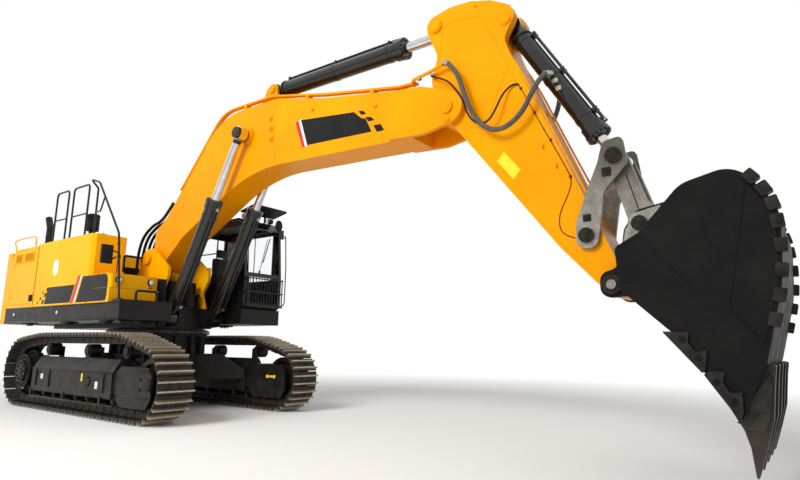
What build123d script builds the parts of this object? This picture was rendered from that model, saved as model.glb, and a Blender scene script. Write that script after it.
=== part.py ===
from build123d import *
from math import hypot
import os

# A large crawler excavator, in millimetres: +X to the front, +Y to the cab's side, +Z up.
# The origin is on the ground, on the axis that the upper structure swings about.

# Pins that the machine turns on, as (x, z) in the plane of the boom
FOOT_PIN = (170, 2870)
ARM_PIN = (6990, 4400)
BUCKET_PIN = (9040, 1900)
ROCKER_PIN = (8770, 2465)
ROCKER_TOP = (9105, 3320)
LINK_PIN = (9350, 2520)
BOOM_CYLINDER_BASE = (1090, 1700)
BOOM_CYLINDER_EYE = (2770, 4905)
ARM_CYLINDER_BASE = (3200, 5750)
ARM_CYLINDER_EYE = (6765, 5695)
BUCKET_CYLINDER_BASE = (7825, 5435)

# Undercarriage
TRACK_CENTRE = 1350
SHOE_WIDTH = 600
SHOE_DEPTH = 75
BELT_DEPTH = 200
CHAIN_WIDTH = 240
IDLER = (2280, 600)
SPROCKET = (-2220, 660)
CARRIER_XS = (-1350, 180, 1500)
TRACK_TOP = 1410
CARRIER_RADIUS = 115
CARRIER_Z = TRACK_TOP - BELT_DEPTH - CARRIER_RADIUS - 1
ROLLER_XS = [-1560 + 420 * i for i in range(8)]
ROLLER_RADIUS = 99
ROLLER_Z = BELT_DEPTH + ROLLER_RADIUS + 1
BEAM_REAR = -1650
BEAM_FRONT = 1350
BEAM_BASE = 410
BEAM_HALF = 230
YOKE_REAR = 1560

# Upper structure
BODY_HALF = 1600
FRAME_BASE = 1525
SKIRT_BASE = 1620
DECK = 1920
DECK_INNER = 640
BODY_TOP = 3200
REAR = -3300
TAIL = -4000
PANEL_SEAM = -2000
TANK_FRONT = 250
TANK_INNER = -950
TOOL_BOX_FRONT = 1000
TOOL_BOX_INNER = -700
TOOL_BOX_TOP = 2420
TOOL_LID_BASE = 2170
TOOL_LID_REAR = 450
WALL = 40

# Cab
CAB_REAR = -150
CAB_FRONT = 1720
CAB_INNER = 640
CAB_OUTER = 1580
CAB_FLOOR = 1920
CAB_ROOF = 3750
CAB_WALL = 40

# Boom, arm and bucket
BOOM_HALF = 280
TIP_EAR_INNER = 275
TIP_EAR_OUTER = 345
ARM_HALF = 255
BUCKET_HALF = 980
BUCKET_PLATE = 40
ROCKER_INNER = 263
ROCKER_OUTER = 313
BUCKET_EAR_INNER = 322
BUCKET_EAR_OUTER = 392

# Cylinders: where the boom's pair stands, and half the width of the eyes
BOOM_CYLINDER_Y = 460
EYE_HALF = 70
LUG_GAP = 7
LUG = 37

# Pins, and the play round them in their holes
PIN_RADIUS = 60
FOOT_PIN_RADIUS = 90
ARM_PIN_RADIUS = 80
PLAY = 1

SIDES = ((1, "left"), (-1, "right"))

os.makedirs("parts", exist_ok=True)


def finish(piece, label):
    """Name a finished piece and write it out."""
    piece.part.label = label
    export_step(piece.part, f"parts/{label}.step")


def side_plane(y):
    """The upright fore and aft plane at this distance left of the centre line."""
    return Plane.XZ.offset(-y)


def rounded(points, radii, plane):
    """A closed outline of straight runs with a rounded corner at each point."""
    with BuildSketch(plane) as shape:
        with BuildLine():
            FilletPolyline(*points, radius=radii, close=True)
        make_face()
    return shape.sketch


def plate(points, radii, y_left, y_right, mode=Mode.ADD):
    """A plate standing fore and aft between two distances left of the centre line."""
    extrude(rounded(points, radii, side_plane(y_left)), amount=y_left - y_right, mode=mode)


def drum(centre, radius, y_left, y_right, mode=Mode.ADD):
    """A round bar lying across the machine."""
    with BuildSketch(side_plane(y_left)) as disc:
        with Locations(centre):
            Circle(radius)
    extrude(disc.sketch, amount=y_left - y_right, mode=mode)


def block(x_span, y_span, z_span, mode=Mode.ADD):
    """A square block between two values along each axis."""
    spans = (x_span, y_span, z_span)
    with Locations(tuple((low + high) / 2 for low, high in spans)):
        Box(*(high - low for low, high in spans), mode=mode)


def tube(points, bend, radius):
    """A round tube along straight runs joined by bends."""
    with BuildLine() as path:
        FilletPolyline(*points, radius=bend)
    with BuildSketch(Plane(origin=path.line @ 0, z_dir=path.line % 0)) as ring:
        Circle(radius)
    sweep(ring.sketch, path=path.line)


def bar(start, end, radius, mode=Mode.ADD):
    """A straight round bar between two points in space."""
    axis = Vector(*end) - Vector(*start)
    with BuildSketch(Plane(origin=start, z_dir=axis)) as disc:
        Circle(radius)
    extrude(disc.sketch, amount=axis.length, mode=mode)


def strap(first, second, radii, y_left, y_right):
    """A plate between two pins with a round end about each."""
    with BuildSketch(side_plane(y_left)) as shape:
        with BuildLine():
            CenterArc(first, radii[0], 0, 360)
            CenterArc(second, radii[1], 0, 360)
        make_hull()
    extrude(shape.sketch, amount=y_left - y_right)


def along(start, end, distance):
    """The point (x, z) this far along the line from one pin towards another."""
    length = hypot(end[0] - start[0], end[1] - start[1])
    share = distance / length
    return (start[0] + share * (end[0] - start[0]), start[1] + share * (end[1] - start[1]))


def shaft(start, end, near, far, y, radius, mode=Mode.ADD):
    """A round bar on the line from one pin to another, between two distances along it."""
    first = along(start, end, near)
    last = along(start, end, far)
    bar((first[0], y, first[1]), (last[0], y, last[1]), radius, mode)


# Tracks: a loop of double-bar shoes bolted to a chain, round the sprocket, rollers and idler.
# A belt's depth is measured in from the tips of the bars.
def belt(y, depth):
    """The loop's outline this deep under the tips of the shoes' bars."""
    carrier_bend = CARRIER_RADIUS + 1 + BELT_DEPTH - depth
    with BuildSketch(side_plane(y)) as loop:
        with BuildLine():
            CenterArc(SPROCKET, SPROCKET[1] - depth, 0, 360)
            CenterArc(IDLER, IDLER[1] - depth, 0, 360)
            CenterArc((CARRIER_XS[0], CARRIER_Z), carrier_bend, 0, 360)
            CenterArc((CARRIER_XS[-1], CARRIER_Z), carrier_bend, 0, 360)
        make_hull()
    return loop.sketch


# The outline of one shoe: how far along it each corner lies, in pitches, and its height over
# the pins. Two bars stand on the plate.
SHOE_COUNT = 50
PIN_DEPTH = 135
PLATE_HEIGHT = 74
SHOE_CORNERS = (
    (-0.42, PLATE_HEIGHT),
    (-0.375, PIN_DEPTH),
    (-0.295, PIN_DEPTH),
    (-0.26, PLATE_HEIGHT),
    (0.16, PLATE_HEIGHT),
    (0.195, PIN_DEPTH),
    (0.275, PIN_DEPTH),
    (0.32, PLATE_HEIGHT),
)


def shoe_outline(y):
    """The outline round the shoes of a whole track, bars and all."""
    pins = belt(y, PIN_DEPTH).wire()
    joints = [pins @ (i / SHOE_COUNT) for i in range(SHOE_COUNT)]
    area = sum(a.X * b.Z - b.X * a.Z for a, b in zip(joints, joints[1:] + joints[:1]))
    outward = -1 if area > 0 else 1
    corners = []
    for first, second in zip(joints, joints[1:] + joints[:1]):
        ahead = second - first
        across = Vector(-ahead.Z, 0, ahead.X).normalized() * outward
        middle = (first + second) / 2
        for share, height in SHOE_CORNERS:
            corner = middle + ahead * share + across * height
            corners.append((corner.X, corner.Z))
    with BuildSketch(side_plane(y)) as outline:
        with BuildLine():
            Polyline(*corners, close=True)
        make_face()
    return outline.sketch


for side, hand in SIDES:
    centre = side * TRACK_CENTRE
    with BuildPart() as track:
        shoe_left = centre + SHOE_WIDTH / 2
        extrude(shoe_outline(shoe_left), amount=SHOE_WIDTH)
        extrude(belt(shoe_left, SHOE_DEPTH), amount=SHOE_WIDTH, mode=Mode.SUBTRACT)
        chain_left = centre + CHAIN_WIDTH / 2
        extrude(belt(chain_left, SHOE_DEPTH), amount=CHAIN_WIDTH)
        extrude(belt(chain_left, BELT_DEPTH), amount=CHAIN_WIDTH, mode=Mode.SUBTRACT)
    finish(track, f"track_{hand}")

# Track frames: a roofed box beam with skirts over the rollers, a yoke for the idler at the
# front, a flange for the final drive at the rear and a bracket for each carrier roller
BEAM_SECTION = (
    (-BEAM_HALF, 330),
    (-195, 330),
    (-195, BEAM_BASE),
    (195, BEAM_BASE),
    (195, 330),
    (BEAM_HALF, 330),
    (BEAM_HALF, 740),
    (100, 960),
    (-100, 960),
    (-BEAM_HALF, 740),
)
for side, hand in SIDES:
    centre = side * TRACK_CENTRE
    with BuildPart() as track_frame:
        with BuildSketch(Plane.YZ.offset(BEAM_REAR)) as beam:
            with BuildLine():
                Polyline(*((centre + y, z) for y, z in BEAM_SECTION), close=True)
            make_face()
        extrude(amount=BEAM_FRONT - BEAM_REAR)
        for low in (150, -190):
            plate(
                ((BEAM_FRONT, 430), (YOKE_REAR, 225), (2330, 225), (2450, 380), (2450, 720),
                 (2330, 860), (YOKE_REAR, 860), (BEAM_FRONT, 740)),
                (0, 30, 60, 60, 60, 60, 30, 0),
                centre + low + 40, centre + low,
            )
        block((BEAM_FRONT, YOKE_REAR), (centre - 150, centre + 150), (430, 740))
        block((YOKE_REAR, 1800), (centre - 150, centre + 150), (760, 860))
        inner = centre - side * 145
        outer = centre - side * 205
        plate(
            ((BEAM_REAR, 430), (-1900, 380), (-2220, 340), (-2530, 500), (-2530, 820),
             (-2220, 980), (-1900, 940), (BEAM_REAR, 860)),
            (0, 100, 200, 200, 200, 200, 100, 0),
            max(inner, outer), min(inner, outer),
        )
        for x in CARRIER_XS:
            post = sorted((centre - side * 116, centre - side * 160))
            block((x - 70, x + 70), post, (800, CARRIER_Z + 60))
    finish(track_frame, f"track_frame_{hand}")

# Final drives: a toothed ring in the chain, its planet drum outside and its motor inside
TOOTH_COUNT = 21
TOOTH_ROOT = 405
with BuildPart() as final_drives:
    for side, hand in SIDES:
        centre = side * TRACK_CENTRE
        drum(SPROCKET, TOOTH_ROOT, centre + 45, centre - 45)
        with BuildSketch(side_plane(centre + 45)) as teeth:
            with Locations(SPROCKET):
                with PolarLocations(TOOTH_ROOT + 10, TOOTH_COUNT):
                    Trapezoid(60, 80, 72, rotation=-90)
        extrude(amount=90)
        for radius, start, end in ((300, -144, 150), (330, 150, 190), (210, 190, 235)):
            faces = sorted((centre + side * start, centre + side * end))
            drum(SPROCKET, radius, faces[1], faces[0])
        motor = sorted((centre - side * 206, centre - side * 470))
        drum(SPROCKET, 190, motor[1], motor[0])
finish(final_drives, "final_drives")

# Idlers: a rimmed wheel on a shaft between the plates of the yoke
with BuildPart() as idlers:
    for side, hand in SIDES:
        centre = side * TRACK_CENTRE
        drum(IDLER, IDLER[1] - BELT_DEPTH - 2, centre + 100, centre - 100)
        for low, high in ((40, 100), (-100, -40)):
            with BuildSketch(side_plane(centre + high)) as recess:
                with Locations(IDLER):
                    Circle(320)
                    Circle(120, mode=Mode.SUBTRACT)
            extrude(amount=high - low, mode=Mode.SUBTRACT)
        drum(IDLER, 90, centre + 150, centre - 150)
finish(idlers, "idlers")

# Track rollers under the beam: a wheel with end collars held up to the beam
with BuildPart() as track_rollers:
    for side, hand in SIDES:
        centre = side * TRACK_CENTRE
        for x in ROLLER_XS:
            if x > YOKE_REAR - 100:
                continue
            drum((x, ROLLER_Z), ROLLER_RADIUS, centre + 130, centre - 130)
            for low, high in ((130, 190), (-190, -130)):
                drum((x, ROLLER_Z), 65, centre + high, centre + low)
                if x < BEAM_FRONT:
                    block((x - 65, x + 65), (centre + low, centre + high), (ROLLER_Z, BEAM_BASE))
finish(track_rollers, "track_rollers")

# Carrier rollers that hold the top run up, each on an axle out of its bracket
with BuildPart() as carrier_rollers:
    for side, hand in SIDES:
        centre = side * TRACK_CENTRE
        for x in CARRIER_XS:
            drum((x, CARRIER_Z), CARRIER_RADIUS, centre + 100, centre - 100)
            axle = sorted((centre - side * 100, centre - side * 116))
            drum((x, CARRIER_Z), 50, axle[1], axle[0])
finish(carrier_rollers, "carrier_rollers")

# Car body: four legs from the ring seat out to the track frames, with a tow eye at each end
# for an upright pin
LEG_TOP = 1040
TOW_EYE_X = 830
TOW_EYE_Z = 700
TOW_EYE_RADIUS = 35
TOW_EYE_HALF = 30
TOW_PLATE_HALF = 75
LEG_PLAN = ((1300, 1120), (560, 1120), (300, 700), (-300, 700), (-560, 1120), (-1300, 1120),
            (-760, 420), (-760, -420), (-1300, -1120), (-560, -1120), (-300, -700),
            (300, -700), (560, -1120), (1300, -1120), (760, -420), (760, 420))
with BuildPart() as carbody:
    with BuildSketch(Plane.XY.offset(560)) as legs:
        with BuildLine():
            Polyline(*LEG_PLAN, close=True)
        make_face()
    extrude(amount=LEG_TOP - 560)
    for side, hand in SIDES:
        with BuildSketch(Plane.YZ.offset(-1400)) as slope:
            with BuildLine():
                Polyline((side * 760, 1050), (side * 1130, 730), (side * 1130, 1050), close=True)
            make_face()
        extrude(amount=2800, mode=Mode.SUBTRACT)
    with Locations((0, 0, (LEG_TOP + 1380) / 2 - 100)):
        Cylinder(800, 1380 - LEG_TOP + 200)
    eye_base = TOW_EYE_Z - TOW_EYE_HALF
    eye_top = TOW_EYE_Z + TOW_EYE_HALF
    for end in (1, -1):
        eye_x = end * TOW_EYE_X
        block(sorted((end * 700, eye_x)), (-TOW_PLATE_HALF, TOW_PLATE_HALF), (eye_base, eye_top))
        bar((eye_x, 0, eye_base), (eye_x, 0, eye_top), TOW_PLATE_HALF)
        bar((eye_x, 0, eye_base - 1), (eye_x, 0, eye_top + 1), TOW_EYE_RADIUS, Mode.SUBTRACT)
finish(carbody, "carbody")

# Swing bearing between car body and upper structure
with BuildPart() as swing_bearing:
    with Locations((0, 0, 1450)):
        Cylinder(960, 70)
    with Locations((0, 0, 1450)):
        Cylinder(880, 140)
    with Locations((0, 0, 1450)):
        Cylinder(700, 140, mode=Mode.SUBTRACT)
finish(swing_bearing, "swing_bearing")

# Main frame of the upper structure: a centre box, side decks closed below, and the lugs that
# the boom cylinders stand on
with BuildPart() as revolving_frame:
    block((REAR, 850), (-600, 600), (FRAME_BASE, DECK))
    for side, front in ((-1, 1400), (1, 1700)):
        span = sorted((side * 590, side * BODY_HALF))
        block((REAR, 850), span, (SKIRT_BASE, DECK))
        span = sorted((side * DECK_INNER, side * BODY_HALF))
        block((850, front), span, (SKIRT_BASE, DECK))
        near = EYE_HALF + LUG_GAP
        for low in (BOOM_CYLINDER_Y - near - LUG, BOOM_CYLINDER_Y + near):
            faces = sorted((side * low, side * (low + LUG)))
            plate(
                ((840, 1540), (1090, 1560), (1240, 1640), (1240, 1790), (1090, 1850), (840, DECK)),
                (0, 60, 60, 60, 60, 0), faces[1], faces[0],
            )
        reach = EYE_HALF + LUG_GAP + LUG + 12
        faces = sorted((side * (BOOM_CYLINDER_Y - reach), side * (BOOM_CYLINDER_Y + reach)))
        drum(BOOM_CYLINDER_BASE, PIN_RADIUS, faces[1], faces[0])
finish(revolving_frame, "revolving_frame")

# Boom foot brackets: an upright plate on each side of the foot, with its pin
BRACKET_INNER = 412
BRACKET_OUTER = 472
BRACKET = ((-420, DECK), (-60, 2830), (20, 3070), (330, 3060), (880, 2660), (900, 2480),
           (720, 2200), (840, DECK))
with BuildPart() as boom_foot_brackets:
    for side, hand in SIDES:
        faces = sorted((side * BRACKET_INNER, side * BRACKET_OUTER))
        plate(BRACKET, (0, 200, 180, 200, 120, 80, 100, 0), faces[1], faces[0])
    drum(FOOT_PIN, FOOT_PIN_RADIUS, 520, -520)
finish(boom_foot_brackets, "boom_foot_brackets")

# Swing drives ahead of the boom's foot: an upright gear case under a motor, one each side
SWING_DRIVE_X = 640
SWING_DRIVE_Y = 205
with BuildPart() as swing_drives:
    for side, hand in SIDES:
        for radius, low, high in ((165, DECK, 2150), (185, 2150, 2190), (105, 2190, 2420)):
            bar((SWING_DRIVE_X, side * SWING_DRIVE_Y, low),
                (SWING_DRIVE_X, side * SWING_DRIVE_Y, high), radius)
finish(swing_drives, "swing_drives")

# Counterweight: a cast block with a round tail
with BuildPart() as counterweight:
    with BuildSketch(Plane.XY.offset(SKIRT_BASE - 20)) as tail:
        with BuildLine():
            FilletPolyline(
                (REAR, -BODY_HALF), (-3700, -BODY_HALF), (TAIL, -600), (TAIL, 600),
                (-3700, BODY_HALF), (REAR, BODY_HALF),
                radius=(0, 280, 1400, 1400, 280, 0), close=True,
            )
        make_face()
    extrude(amount=3120 - SKIRT_BASE + 20)
finish(counterweight, "counterweight")

# Engine, a plain block across the rear
with BuildPart() as engine_block:
    block((-3050, -2150), (-900, 700), (DECK, 2950))
finish(engine_block, "engine_block")

# Engine housing: sheet walls round the rear, open at the top for the hood and at each side
# for a door
ENGINE_ROOF = 3170
HOUSING_SIDE = ((REAR, DECK), (PANEL_SEAM, DECK), (PANEL_SEAM, ENGINE_ROOF), (REAR, ENGINE_ROOF))
HOOD_X = (-2900, -2120)
HOOD_HALF = 760
REAR_DOOR_X = (-3225, -2065)
DOOR_Z = (1985, 3125)
ROOF_BEND = 300
DOOR_GAP = 6


def door_outline(gap):
    """The outline of a rear door with its corner radii, this much smaller all round."""
    rear, front = REAR_DOOR_X[0] + gap, REAR_DOOR_X[1] - gap
    base, top = DOOR_Z[0] + gap, DOOR_Z[1] - gap
    return ((rear, base), (front, base), (front, top), (rear, top)), (0, 0, 0, ROOF_BEND - 40 - gap)


with BuildPart() as engine_housing:
    plate(HOUSING_SIDE, (0, 0, 0, ROOF_BEND), BODY_HALF, -BODY_HALF)
    inner_side = ((REAR + WALL, DECK), (PANEL_SEAM - WALL, DECK),
                  (PANEL_SEAM - WALL, ENGINE_ROOF - WALL), (REAR + WALL, ENGINE_ROOF - WALL))
    plate(inner_side, (0, 0, 0, ROOF_BEND - WALL), BODY_HALF - WALL, WALL - BODY_HALF,
          Mode.SUBTRACT)
    block(HOOD_X, (-HOOD_HALF, HOOD_HALF), (ENGINE_ROOF - 100, ENGINE_ROOF + 100), Mode.SUBTRACT)
    for side, hand in SIDES:
        faces = sorted((side * (BODY_HALF - WALL), side * BODY_HALF))
        plate(*door_outline(0), faces[1], faces[0], Mode.SUBTRACT)
finish(engine_housing, "engine_housing")

# Engine hood over the roof opening, hinged along its rear edge
with BuildPart() as engine_hood:
    block((HOOD_X[0] - 30, HOOD_X[1] + 40), (-HOOD_HALF - 30, HOOD_HALF + 30),
          (ENGINE_ROOF + 6, ENGINE_ROOF + 66))
    block((HOOD_X[0], HOOD_X[1] + 10), (-HOOD_HALF, HOOD_HALF),
          (ENGINE_ROOF + 6, ENGINE_ROOF + 36), Mode.SUBTRACT)
finish(engine_hood, "engine_hood")

# Side doors of the engine housing, flat in their openings
for side, hand in SIDES:
    with BuildPart() as rear_door:
        faces = sorted((side * (BODY_HALF - WALL), side * BODY_HALF))
        plate(*door_outline(DOOR_GAP), faces[1], faces[0])
    finish(rear_door, f"rear_door_{hand}")

# Left side housing behind the cab, round the radiator and air cleaner, with its own door
LEFT_HOUSING_FRONT = -700
LEFT_HOUSING_TOP = 2980
LEFT_DOOR_X = (-1940, -760)
LEFT_DOOR_Z = (1985, 2900)
with BuildPart() as left_housing:
    block((PANEL_SEAM, LEFT_HOUSING_FRONT), (560, BODY_HALF), (DECK, LEFT_HOUSING_TOP))
    block((PANEL_SEAM, LEFT_HOUSING_FRONT - WALL), (560 + WALL, BODY_HALF - WALL),
          (DECK, LEFT_HOUSING_TOP - WALL), Mode.SUBTRACT)
    block(LEFT_DOOR_X, (BODY_HALF - WALL, BODY_HALF), LEFT_DOOR_Z, Mode.SUBTRACT)
finish(left_housing, "left_housing")

with BuildPart() as left_door:
    block((LEFT_DOOR_X[0] + DOOR_GAP, LEFT_DOOR_X[1] - DOOR_GAP), (BODY_HALF - WALL, BODY_HALF),
          (LEFT_DOOR_Z[0] + DOOR_GAP, LEFT_DOOR_Z[1] - DOOR_GAP))
finish(left_door, "left_front_door")

# Centre cover over the valves behind the boom foot
with BuildPart() as centre_cover:
    block((PANEL_SEAM, -640), (TANK_INNER, 560), (DECK, 2760))
    block((PANEL_SEAM, -640 - WALL), (TANK_INNER + WALL, 560 - WALL), (DECK, 2760 - WALL),
          Mode.SUBTRACT)
finish(centre_cover, "centre_cover")

# Cover over the control valves, between the tool box and the boom's foot
with BuildPart() as valve_cover:
    plate(((300, DECK), (930, DECK), (930, 2420), (300, 2420)), (0, 0, 60, 30), -500, -660)
finish(valve_cover, "valve_cover")

# Fuel and hydraulic tank along the right side
with BuildPart() as tank_housing:
    block((PANEL_SEAM, TANK_FRONT), (-BODY_HALF, TANK_INNER), (DECK, BODY_TOP))
    front_edges = tank_housing.edges().filter_by(Axis.Z).group_by(Axis.X)[-1]
    chamfer(front_edges, 60)
finish(tank_housing, "tank_housing")

# Tool box in front of the tank, which is also a step, and its lid hinged at the rear
BOX_WALL = 25
with BuildPart() as tool_box:
    block((TANK_FRONT, TOOL_BOX_FRONT), (-BODY_HALF, TOOL_BOX_INNER), (DECK, TOOL_LID_BASE))
    block((TOOL_LID_REAR + BOX_WALL, TOOL_BOX_FRONT - BOX_WALL),
          (BOX_WALL - BODY_HALF, TOOL_BOX_INNER - BOX_WALL),
          (DECK + BOX_WALL, TOOL_LID_BASE), Mode.SUBTRACT)
    block((TANK_FRONT, TOOL_LID_REAR), (-BODY_HALF, TOOL_BOX_INNER), (TOOL_LID_BASE, TOOL_BOX_TOP))
finish(tool_box, "tool_box")

with BuildPart() as tool_box_lid:
    block((TOOL_LID_REAR + DOOR_GAP, TOOL_BOX_FRONT), (-BODY_HALF, TOOL_BOX_INNER),
          (TOOL_LID_BASE + DOOR_GAP, TOOL_BOX_TOP))
    upright = tool_box_lid.edges().filter_by(Axis.Z).group_by(Axis.X)[-1]
    fillet(upright, 60)
    block((TOOL_LID_REAR + DOOR_GAP + BOX_WALL, TOOL_BOX_FRONT - BOX_WALL),
          (BOX_WALL - BODY_HALF, TOOL_BOX_INNER - BOX_WALL),
          (TOOL_LID_BASE + DOOR_GAP, TOOL_BOX_TOP - BOX_WALL), Mode.SUBTRACT)
    for y in (-1450, -860):
        bar((TOOL_BOX_FRONT - 10, y, 2310), (TOOL_BOX_FRONT + 40, y, 2310), 55)
finish(tool_box_lid, "tool_box_lid")

# Handrails of bent tube on the right deck and on the tank's top
RAIL_RADIUS = 19
with BuildPart() as handrails:
    block((1225, 1300), (-1590, -1510), (DECK + 30, DECK + 60))
    tube(((1265, -1550, DECK + 45), (1040, -1550, 3120), (150, -1550, 4180), (-200, -1550, 4290),
          (-200, -1400, 4150), (-200, -1400, BODY_TOP)), (150, 200, 70, 70), RAIL_RADIUS)
    for rear, front in ((-1190, -560), (-1930, -1410)):
        tube(((rear, -1400, BODY_TOP), (rear, -1400, 4290), (front, -1400, 4290),
              (front, -1400, BODY_TOP)), (80, 80), RAIL_RADIUS)
        bar((rear, -1400, 3705), (front, -1400, 3705), RAIL_RADIUS - 4)
    tube(((-200, -1400, 3680), (290, -1550, 3610), (410, -1550, 3870)), (60,), RAIL_RADIUS - 4)
finish(handrails, "handrails")

# Step frame on the right front deck
with BuildPart() as access_steps:
    tube(((1360, -1310, DECK), (1360, -1310, 2120), (1360, -930, 2120), (1360, -930, DECK)),
         (50, 50), 22)
    block((1130, 1400), (-BODY_HALF, -620), (DECK, DECK + 30))
    block((1150, 1400), (-1560, -1200), (1560, 1590))
    for y in (-1550, -1210):
        block((1200, 1350), (y - 10, y + 10), (1590, SKIRT_BASE))
finish(access_steps, "access_steps")

# Exhaust stack and air pre-cleaner on the roof
with BuildPart() as exhaust_stack:
    tube(((-3000, -1050, ENGINE_ROOF), (-3000, -1050, 3750), (-3130, -1050, 3980)), (150,), 70)
finish(exhaust_stack, "exhaust_stack")

with BuildPart() as precleaner:
    with Locations((-700, -1200, 3330)):
        Cylinder(60, 260)
    with Locations((-700, -1200, 3560)):
        Cylinder(115, 320)
finish(precleaner, "precleaner")

# Mirror on an arm from the right handrail
with BuildPart() as right_mirror:
    block((1040, 1090), (-1830, -1640), (2560, 2880))
    bar((1065, -1640, 2640), (1108, -1590, 2685), 14)
finish(right_mirror, "right_mirror")

# Cab: a shell with pillars, the windows and the door opening cut through its wall
CAB_SIDE = ((CAB_REAR, CAB_FLOOR), (CAB_FRONT, CAB_FLOOR), (CAB_FRONT + 30, 2480),
            (CAB_FRONT - 60, 3560), (CAB_FRONT - 220, CAB_ROOF), (CAB_REAR, CAB_ROOF))
CAB_BENDS = (30, 120, 250, 150, 120, 120)
CAB_DOOR_X = (120, 1560)
CAB_DOOR_Z = (1990, 3610)


def cab_solid(inset, mode=Mode.ADD):
    """The cab's outer shape with its faces moved in by a distance."""
    with BuildSketch(side_plane(CAB_OUTER - inset)) as profile:
        with BuildLine():
            FilletPolyline(*CAB_SIDE, radius=CAB_BENDS, close=True)
        make_face()
        if inset:
            offset(amount=-inset, mode=Mode.REPLACE)
    extrude(profile.sketch, amount=CAB_OUTER - CAB_INNER - 2 * inset, mode=mode)


with BuildPart() as window_openings:
    middle = ((CAB_INNER + CAB_OUTER) / 2)
    half = (CAB_OUTER - CAB_INNER) / 2 - 75
    block((CAB_FRONT - 260, CAB_FRONT + 100), (middle - half, middle + half), (2640, 3560))
    block((CAB_FRONT - 200, CAB_FRONT + 100), (middle - half, middle + half), (2050, 2560))
    block((CAB_REAR - 50, CAB_REAR + 100), (middle - half, middle + half), (2700, 3560))
    block((150, 1560), (CAB_INNER - 50, CAB_INNER + 100), (2560, 3600))

with BuildPart() as cab_shell:
    cab_solid(0)
    cab_solid(CAB_WALL, Mode.SUBTRACT)
    add(window_openings.part, mode=Mode.SUBTRACT)
    block(CAB_DOOR_X, (CAB_OUTER - 60, CAB_OUTER + 10), CAB_DOOR_Z, Mode.SUBTRACT)
finish(cab_shell, "cab_shell")

with BuildPart() as cab_glass:
    cab_solid(16)
    cab_solid(22, Mode.SUBTRACT)
    add(window_openings.part, mode=Mode.INTERSECT)
finish(cab_glass, "cab_glass")

# Cab door with its pane
DOOR_WINDOW = ((CAB_DOOR_X[0] + 90, CAB_DOOR_X[1] - 90), (2560, 3530))
with BuildPart() as cab_door:
    block((CAB_DOOR_X[0] + DOOR_GAP, CAB_DOOR_X[1] - DOOR_GAP),
          (CAB_OUTER - CAB_WALL, CAB_OUTER),
          (CAB_DOOR_Z[0] + DOOR_GAP, CAB_DOOR_Z[1] - DOOR_GAP))
    block(DOOR_WINDOW[0], (CAB_OUTER - 60, CAB_OUTER + 10), DOOR_WINDOW[1], Mode.SUBTRACT)
finish(cab_door, "cab_door")

with BuildPart() as door_glass:
    block(DOOR_WINDOW[0], (CAB_OUTER - 22, CAB_OUTER - 16), DOOR_WINDOW[1])
finish(door_glass, "door_glass")

# Seat and the consoles beside it
SEAT_FLOOR = CAB_FLOOR + CAB_WALL
with BuildPart() as cab_seat:
    block((350, 750), (920, 1300), (SEAT_FLOOR, 2250))
    block((300, 850), (880, 1340), (2250, 2400))
    block((250, 400), (900, 1320), (2400, 3050))
    block((270, 370), (1000, 1220), (3050, 3250))
finish(cab_seat, "cab_seat")

with BuildPart() as cab_consoles:
    for low, high in ((740, 860), (1360, 1480)):
        block((330, 950), (low, high), (SEAT_FLOOR, 2520))
        bar(((850, (low + high) / 2, 2520)), (880, (low + high) / 2, 2700), 22)
finish(cab_consoles, "cab_consoles")

# Bar guard over the lower windscreen
with BuildPart() as front_guard:
    for z in (1990, 2250, 2520):
        tube(((CAB_FRONT + 20, CAB_INNER + 30, z), (CAB_FRONT + 110, CAB_INNER + 30, z),
              (CAB_FRONT + 110, CAB_OUTER - 30, z), (CAB_FRONT + 20, CAB_OUTER - 30, z)),
             (40, 40), 12)
    for i in range(12):
        y = CAB_INNER + 85 + i * (CAB_OUTER - CAB_INNER - 170) / 11
        bar((CAB_FRONT + 110, y, 1960), (CAB_FRONT + 110, y, 2550), 8)
    cab_solid(0, Mode.SUBTRACT)
finish(front_guard, "front_guard")

# Mirrors and grab rail at the cab's outer front corner
with BuildPart() as cab_mirrors:
    tube(((1560, 1560, 3520), (1800, 1600, 3480), (1850, 1600, 2800), (1850, 1600, 2040),
          (1690, 1560, 1980)), (40, 60, 80), 11)
    block((1785, 1815), (1400, 1530), (3400, 3590))
    bar((1800, 1500, 3440), (1803, 1600, 3440), 9)
    cab_solid(0, Mode.SUBTRACT)
finish(cab_mirrors, "cab_mirrors")

# Visor over the windscreen, on two brackets from the roof
with BuildPart() as cab_visor:
    plate(((1450, 3875), (1880, 3965), (1875, 3990), (1445, 3900)), (0, 0, 0, 0), 1520, 680)
    for y in (850, 1270):
        plate(((1460, CAB_ROOF), (1500, CAB_ROOF), (1500, 3895), (1460, 3885)),
              (0, 0, 0, 0), y + 30, y)
finish(cab_visor, "cab_visor")

# Lamps on the cab roof
with BuildPart() as work_lamps:
    for y in (760, 1400):
        drum((1500, 3800), 49, y + 60, y - 60)
finish(work_lamps, "work_lamps")

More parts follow.
